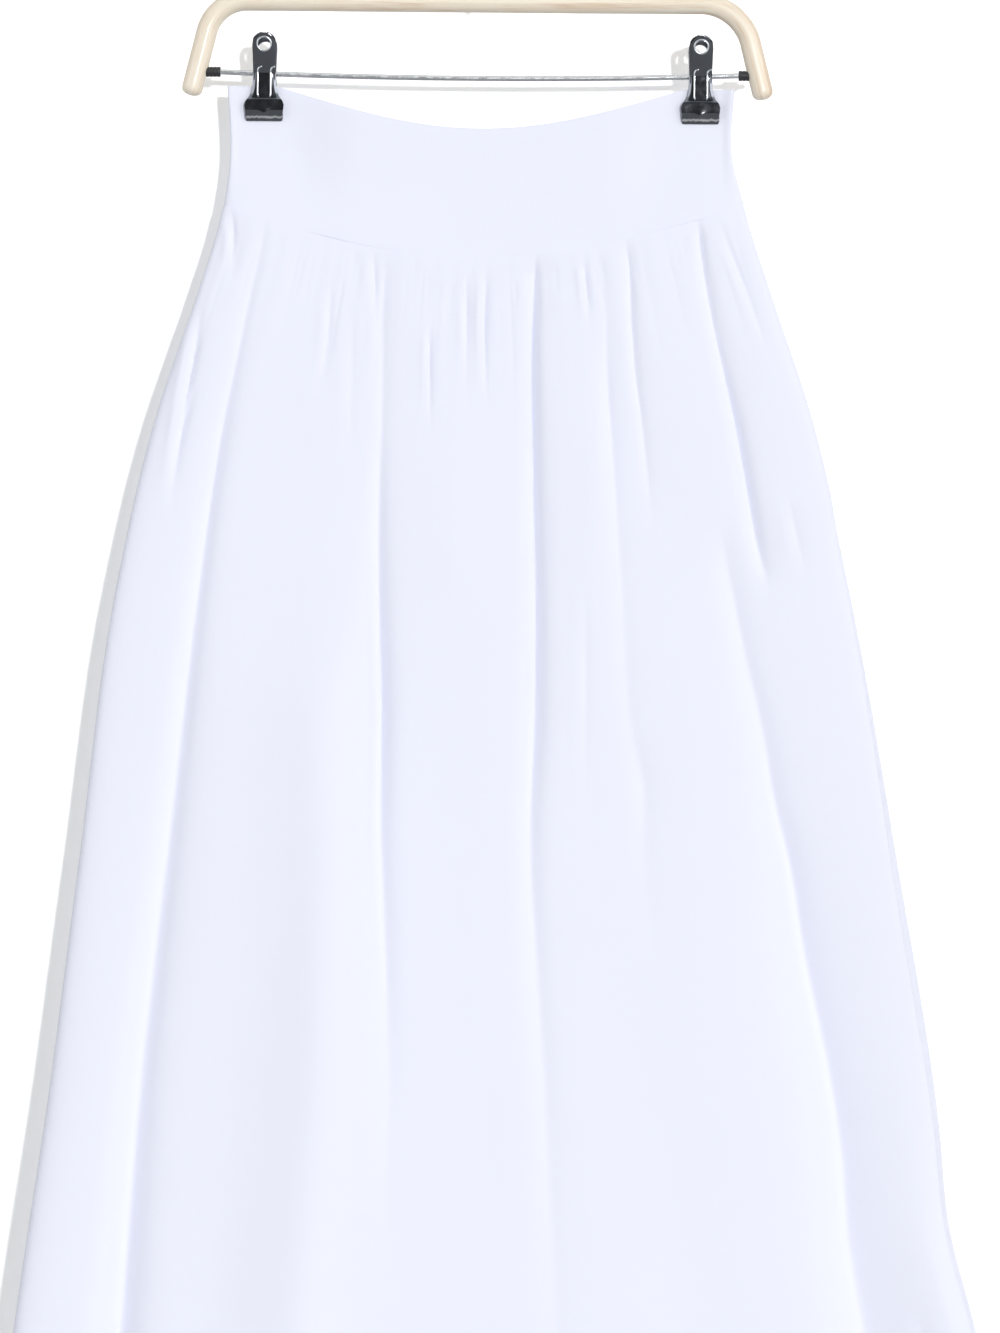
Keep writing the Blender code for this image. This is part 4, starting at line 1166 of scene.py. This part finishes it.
def earPart(across, side, sideways):
    # A rounded tab, from the plate to just past the rod, in the plane square to the rod
    radius, half = clipForm["earRadius"], clipForm["earThickness"] / 2
    rootY, root = side * float(plateStandOff(0.0)), clipForm["earRoot"]
    swing = np.radians(np.linspace(-90, 90, 17))
    nose = np.column_stack([-side * radius * np.cos(swing), radius * np.sin(swing)])
    outline = np.concatenate([nose, [[rootY, root], [rootY, -root]]])
    inset = 0.0 if side == front else clipForm["earInset"]
    centre = across + sideways * (clipForm["earAcross"] - inset)
    y, z = outline[:, 0], outline[:, 1] - rodDrop(across)
    rings = [np.column_stack([np.full(len(outline), centre + shift), y, z]) for shift in (-half, half)]
    numbers = np.arange(2 * len(outline)).reshape(2, -1)
    low, high = numbers if side == front else numbers[:, ::-1]
    faces = gridFaces(np.column_stack([numbers, numbers[:, 0]]), side == back)
    faces += [low.tolist(), high[::-1].tolist()]
    return np.concatenate(rings), faces, np.zeros((2 * len(outline), 2))


def addRimAndEars(piece, across, side, place, normal):
    # Joins the cut plate, a bright ring round its hole and two ears, with new flat coordinates:
    # the place across and the height above the rod's axis
    angles = np.linspace(0, 2 * math.pi, 48, endpoint=False)
    radius = clipForm["holeRadius"] + clipForm["rimRadius"] * clipForm["rimOut"]
    right = np.array([1.0, 0.0, 0.0])
    up = np.cross(normal, right)
    circle = np.cos(angles)[:, None] * right + np.sin(angles)[:, None] * up
    circle = place + normal * clipForm["thickness"] * clipForm["rimRise"] + radius * circle
    rim = tubePart(circle, clipForm["rimRadius"], 12, normal, loop=True)
    plate = piece.data
    points = np.empty(len(plate.vertices) * 3, dtype=np.float32)
    plate.vertices.foreach_get("co", points)
    points = points.reshape(-1, 3).astype(float)
    platePart = (points, [tuple(face.vertices) for face in plate.polygons], np.zeros((len(points), 2)))
    ears = [earPart(across, side, sideways) for sideways in (-1, 1)]
    points, faces, uvs = joinParts([platePart, rim, *ears])
    flat = np.column_stack([points[:, 0] - across, points[:, 2] + rodDrop(across)])
    whole = makeMesh(piece.name, points, faces, flat, [clipLook, springLook], 35)
    kinds = np.zeros(len(faces), dtype=np.int32)
    kinds[len(platePart[1]): len(platePart[1]) + len(rim[1])] = 1
    whole.polygons.foreach_set("material_index", kinds)
    takeMesh(piece, whole)


def makeWires(name, across, side, node):
    # Two legs on the plate, joined at the jaw, whose tips both turn to the right and go inwards
    stand = clipForm["thickness"] / 2 + wireForm["radius"] + wireForm["clearance"]
    legs, tips = np.array(wireForm["leg"]), np.array(wireForm["tip"])
    left = np.concatenate([tips, legs]) * (-1, 1)
    right = np.concatenate([(2.0, 0.0) + tips * (-1, 1), legs])[::-1]
    line = np.concatenate([left, right])
    steps = np.linspace(0, len(line) - 1, 8 * (len(line) - 1) + 1)
    share, height = (smoothLookup(steps, np.arange(len(line)), line[:, k]) for k in (0, 1))
    # At the jaw the wire goes through the plate, so that its turn lies behind it
    sunk = smoothStep((wireForm["sinkHeight"] - height) / wireForm["sinkRamp"])
    away = plateStandOff(height) + stand - wireForm["sink"] * sunk
    path = np.column_stack([across + share * wireForm["across"], side * away, height - rodDrop(across)])
    path, radii = roundEnds(path, wireForm["radius"], 4)
    return makePiece(name, [tubePart(path, radii, 12, (0, 1, 0))], springLook, "spring_wire", node)


def makeSpring(name, across, node):
    # A close coil round the rod: x grows evenly with the angle
    turns, radius = springForm["turns"], springForm["radius"]
    a = np.linspace(0, 2 * math.pi * turns, turns * 20 + 1)
    x = across + springForm["halfLength"] * (2 * a / a[-1] - 1)
    path = np.column_stack([x, radius * np.cos(a), radius * np.sin(a) - rodDrop(x)])
    path, radii = roundEnds(path, springForm["wire"], 4)
    return makePiece(name, [tubePart(path, radii, 10, (1, 0, 0))], springLook, "spring_wire", node)


hangerPieces = [hook, bentFrame, rod, capLeft, capRight]
for word, across in zip(("left", "right"), clipForm["across"]):
    title = word.capitalize()
    for place, side in (("front", front), ("back", back)):
        ending = title + place.capitalize()
        hangerPieces += [
            makePlate("clipPlate" + ending, across, side, f"clip_{word}_{place}"),
            makeWires("clipWires" + ending, across, side, f"clip_{word}_wire_{place}"),
        ]
    hangerPieces.append(makeSpring("clipSpring" + title, across, f"clip_{word}_spring"))
print("clips made")

# The whole hanger hangs a little aslant, turned about the hook's inner top, its right end lower
hangerTilt = math.radians(0.45)
for piece in hangerPieces:
    piece.data.transform(Matrix.Rotation(hangerTilt, 4, "Y"))
bentFrame.visible_shadow = False   # the photograph's wall shows no shadow of it


# Studio: a white wall close behind, a pale floor, soft lamps, the camera
wallForm = {
    "behind": (0.032, 0.060),  # at the hook's height and at the hem's
    "hemDrop": 1.17,
    "halfWidth": 12.0,
    "top": 2.2,
    "roughness": 0.95,
    "glowColour": (1.0, 0.99, 0.95),
    # In the light that it sends back to the cloth, and as the camera sees it
    "tone": (0.76, 0.95),
    "glow": (0.04, 0.26),
}
floorForm = {
    "drop": 1.95,
    "reach": 12.0,
    "roughness": 0.8,
    "tone": (0.42, 0.70),      # in the light that it sends up, and as it is seen
}
lamps = {
    # Degrees to the right of the front and up, width of the light in degrees, strength
    "key": (15.2, 5, 2.4, 1.72),
    "side": (50, 12, 30.0, 0.64),
    "fill": (-55, 14, 36.0, 0.43),
    "behind": (165, 16, 24.0, 0.9),
}
worldLight = {
    "colour": (0.94, 1.0, 1.0),
    "seen": 0.95,              # strength as the camera sees it
    # From the direction straight in front to the sides, as Y, and the strengths there
    "around": ((-1.0, -0.72), (0.10, 0.30)),
    "panels": ((-0.90, -0.66), (0.0, 1.4)),
}
camera = {
    "distance": 3.2,
    "middle": (0.01385, -0.5634),
    "imageHeight": 1333,
    "pixelsPerMetre": 1372,
    "sensor": 36.0,
}


def flatPiece(name, corners, material):
    # One flat face as a piece of the stage
    mesh = bpy.data.meshes.new(name)
    mesh.from_pydata(corners, [], [(0, 1, 2, 3)])
    mesh.materials.append(material)
    placeNew(name, mesh)


def makeOneSided(name):
    # A stage material that is clear from behind, so that the object can be looked at through it
    made, tree, shader = newMaterial(name)
    clear = addNode(tree, "BsdfTransparent").outputs[0]
    ray = addNode(tree, "LightPath").outputs
    facing = addNode(tree, "NewGeometry").outputs["Backfacing"]
    share = mathNode(tree, "MAXIMUM", facing, ray["Is Shadow Ray"])
    mixed = addNode(tree, "MixShader", {0: share, 1: shader.outputs[0], 2: clear}).outputs[0]
    feed(tree, tree.nodes["Material Output"], {"Surface": mixed})
    return made, tree, shader, ray


def makeWall():
    # Brighter to look at than in the light that it sends back to the cloth
    made, tree, shader, ray = makeOneSided("whiteWall")
    tone, glow = (rangeNode(tree, ray["Is Camera Ray"], (0.0, 1.0), wallForm[k]) for k in ("tone", "glow"))
    feed(tree, shader, {
        "Base Color": tone,
        "Emission Strength": glow,
        "Emission Color": (*wallForm["glowColour"], 1),
        "Roughness": wallForm["roughness"],
        "Specular IOR Level": 0.0,
    })
    w, low, top = wallForm["halfWidth"], -floorForm["drop"], wallForm["top"]
    near, far = wallForm["behind"]
    lean = (far - near) / wallForm["hemDrop"]
    flatPiece("wall", [(x, near - lean * z, z) for x, z in ((-w, low), (w, low), (w, top), (-w, top))], made)


def makeFloor():
    # Paler to look at than in the light that it sends up to the cloth
    made, tree, shader, ray = makeOneSided("paleFloor")
    looked = mathNode(tree, "MAXIMUM", ray["Is Camera Ray"], ray["Is Glossy Ray"])
    tone = rangeNode(tree, looked, (0.0, 1.0), floorForm["tone"])
    feed(tree, shader, {"Base Color": tone, "Roughness": floorForm["roughness"]})
    r, z = floorForm["reach"], -floorForm["drop"]
    flatPiece("floor", [(-r, -r, z), (r, -r, z), (r, r, z), (-r, r, z)], made)


def addLamp(name, azimuth, elevation, width, strength):
    # A far, wide lamp: its light comes evenly from one direction
    data = bpy.data.lights.new(name, "SUN")
    data.angle = math.radians(width)
    data.energy = strength
    lamp = placeNew(name, data)
    a, e = math.radians(azimuth), math.radians(elevation)
    lamp.location = (2 * math.sin(a), -2 * math.cos(a), 2 * math.sin(e))
    lamp.rotation_euler = (math.pi / 2 - e, 0.0, a)


def makeWorld():
    # Soft white all round, dimmer straight in front of the object, where the camera stands, with
    # bright panels at the sides and above, which only the metal's reflections show
    world = bpy.data.worlds.new("studioWorld")
    bpy.context.scene.world = world
    world.use_nodes = True
    tree = world.node_tree
    way = addNode(tree, "TexCoord").outputs["Generated"]
    depth = addNode(tree, "SeparateXYZ", {0: way}).outputs["Y"]
    around, panels = (rangeNode(tree, depth, *worldLight[k], "SMOOTHSTEP") for k in ("around", "panels"))
    ray = addNode(tree, "LightPath").outputs
    seen = mathNode(tree, "MULTIPLY", ray["Is Camera Ray"], worldLight["seen"])
    shine = mathNode(tree, "MULTIPLY", ray["Is Glossy Ray"], panels)
    strength = mathNode(tree, "MAXIMUM", around, mathNode(tree, "MAXIMUM", seen, shine))
    feed(tree, tree.nodes["Background"], {"Strength": strength, "Color": (*worldLight["colour"], 1)})


def makeCamera():
    # Level, from straight in front, with the lens that gives the picture its pixels per metre
    data = bpy.data.cameras.new("camera")
    data.sensor_width = camera["sensor"]
    data.lens = camera["sensor"] * camera["distance"] / (camera["imageHeight"] / camera["pixelsPerMetre"])
    data.dof.use_dof = False
    view = placeNew("camera", data)
    view.location = (camera["middle"][0], -camera["distance"], camera["middle"][1])
    view.rotation_euler = (math.pi / 2, 0.0, 0.0)
    bpy.context.scene.camera = view


makeWall()
makeFloor()
for lampName, settings in lamps.items():
    addLamp(lampName, *settings)
makeWorld()
makeCamera()
bpy.context.scene.view_settings.view_transform = "Standard"
print("studio made")

bpy.context.view_layer.update()
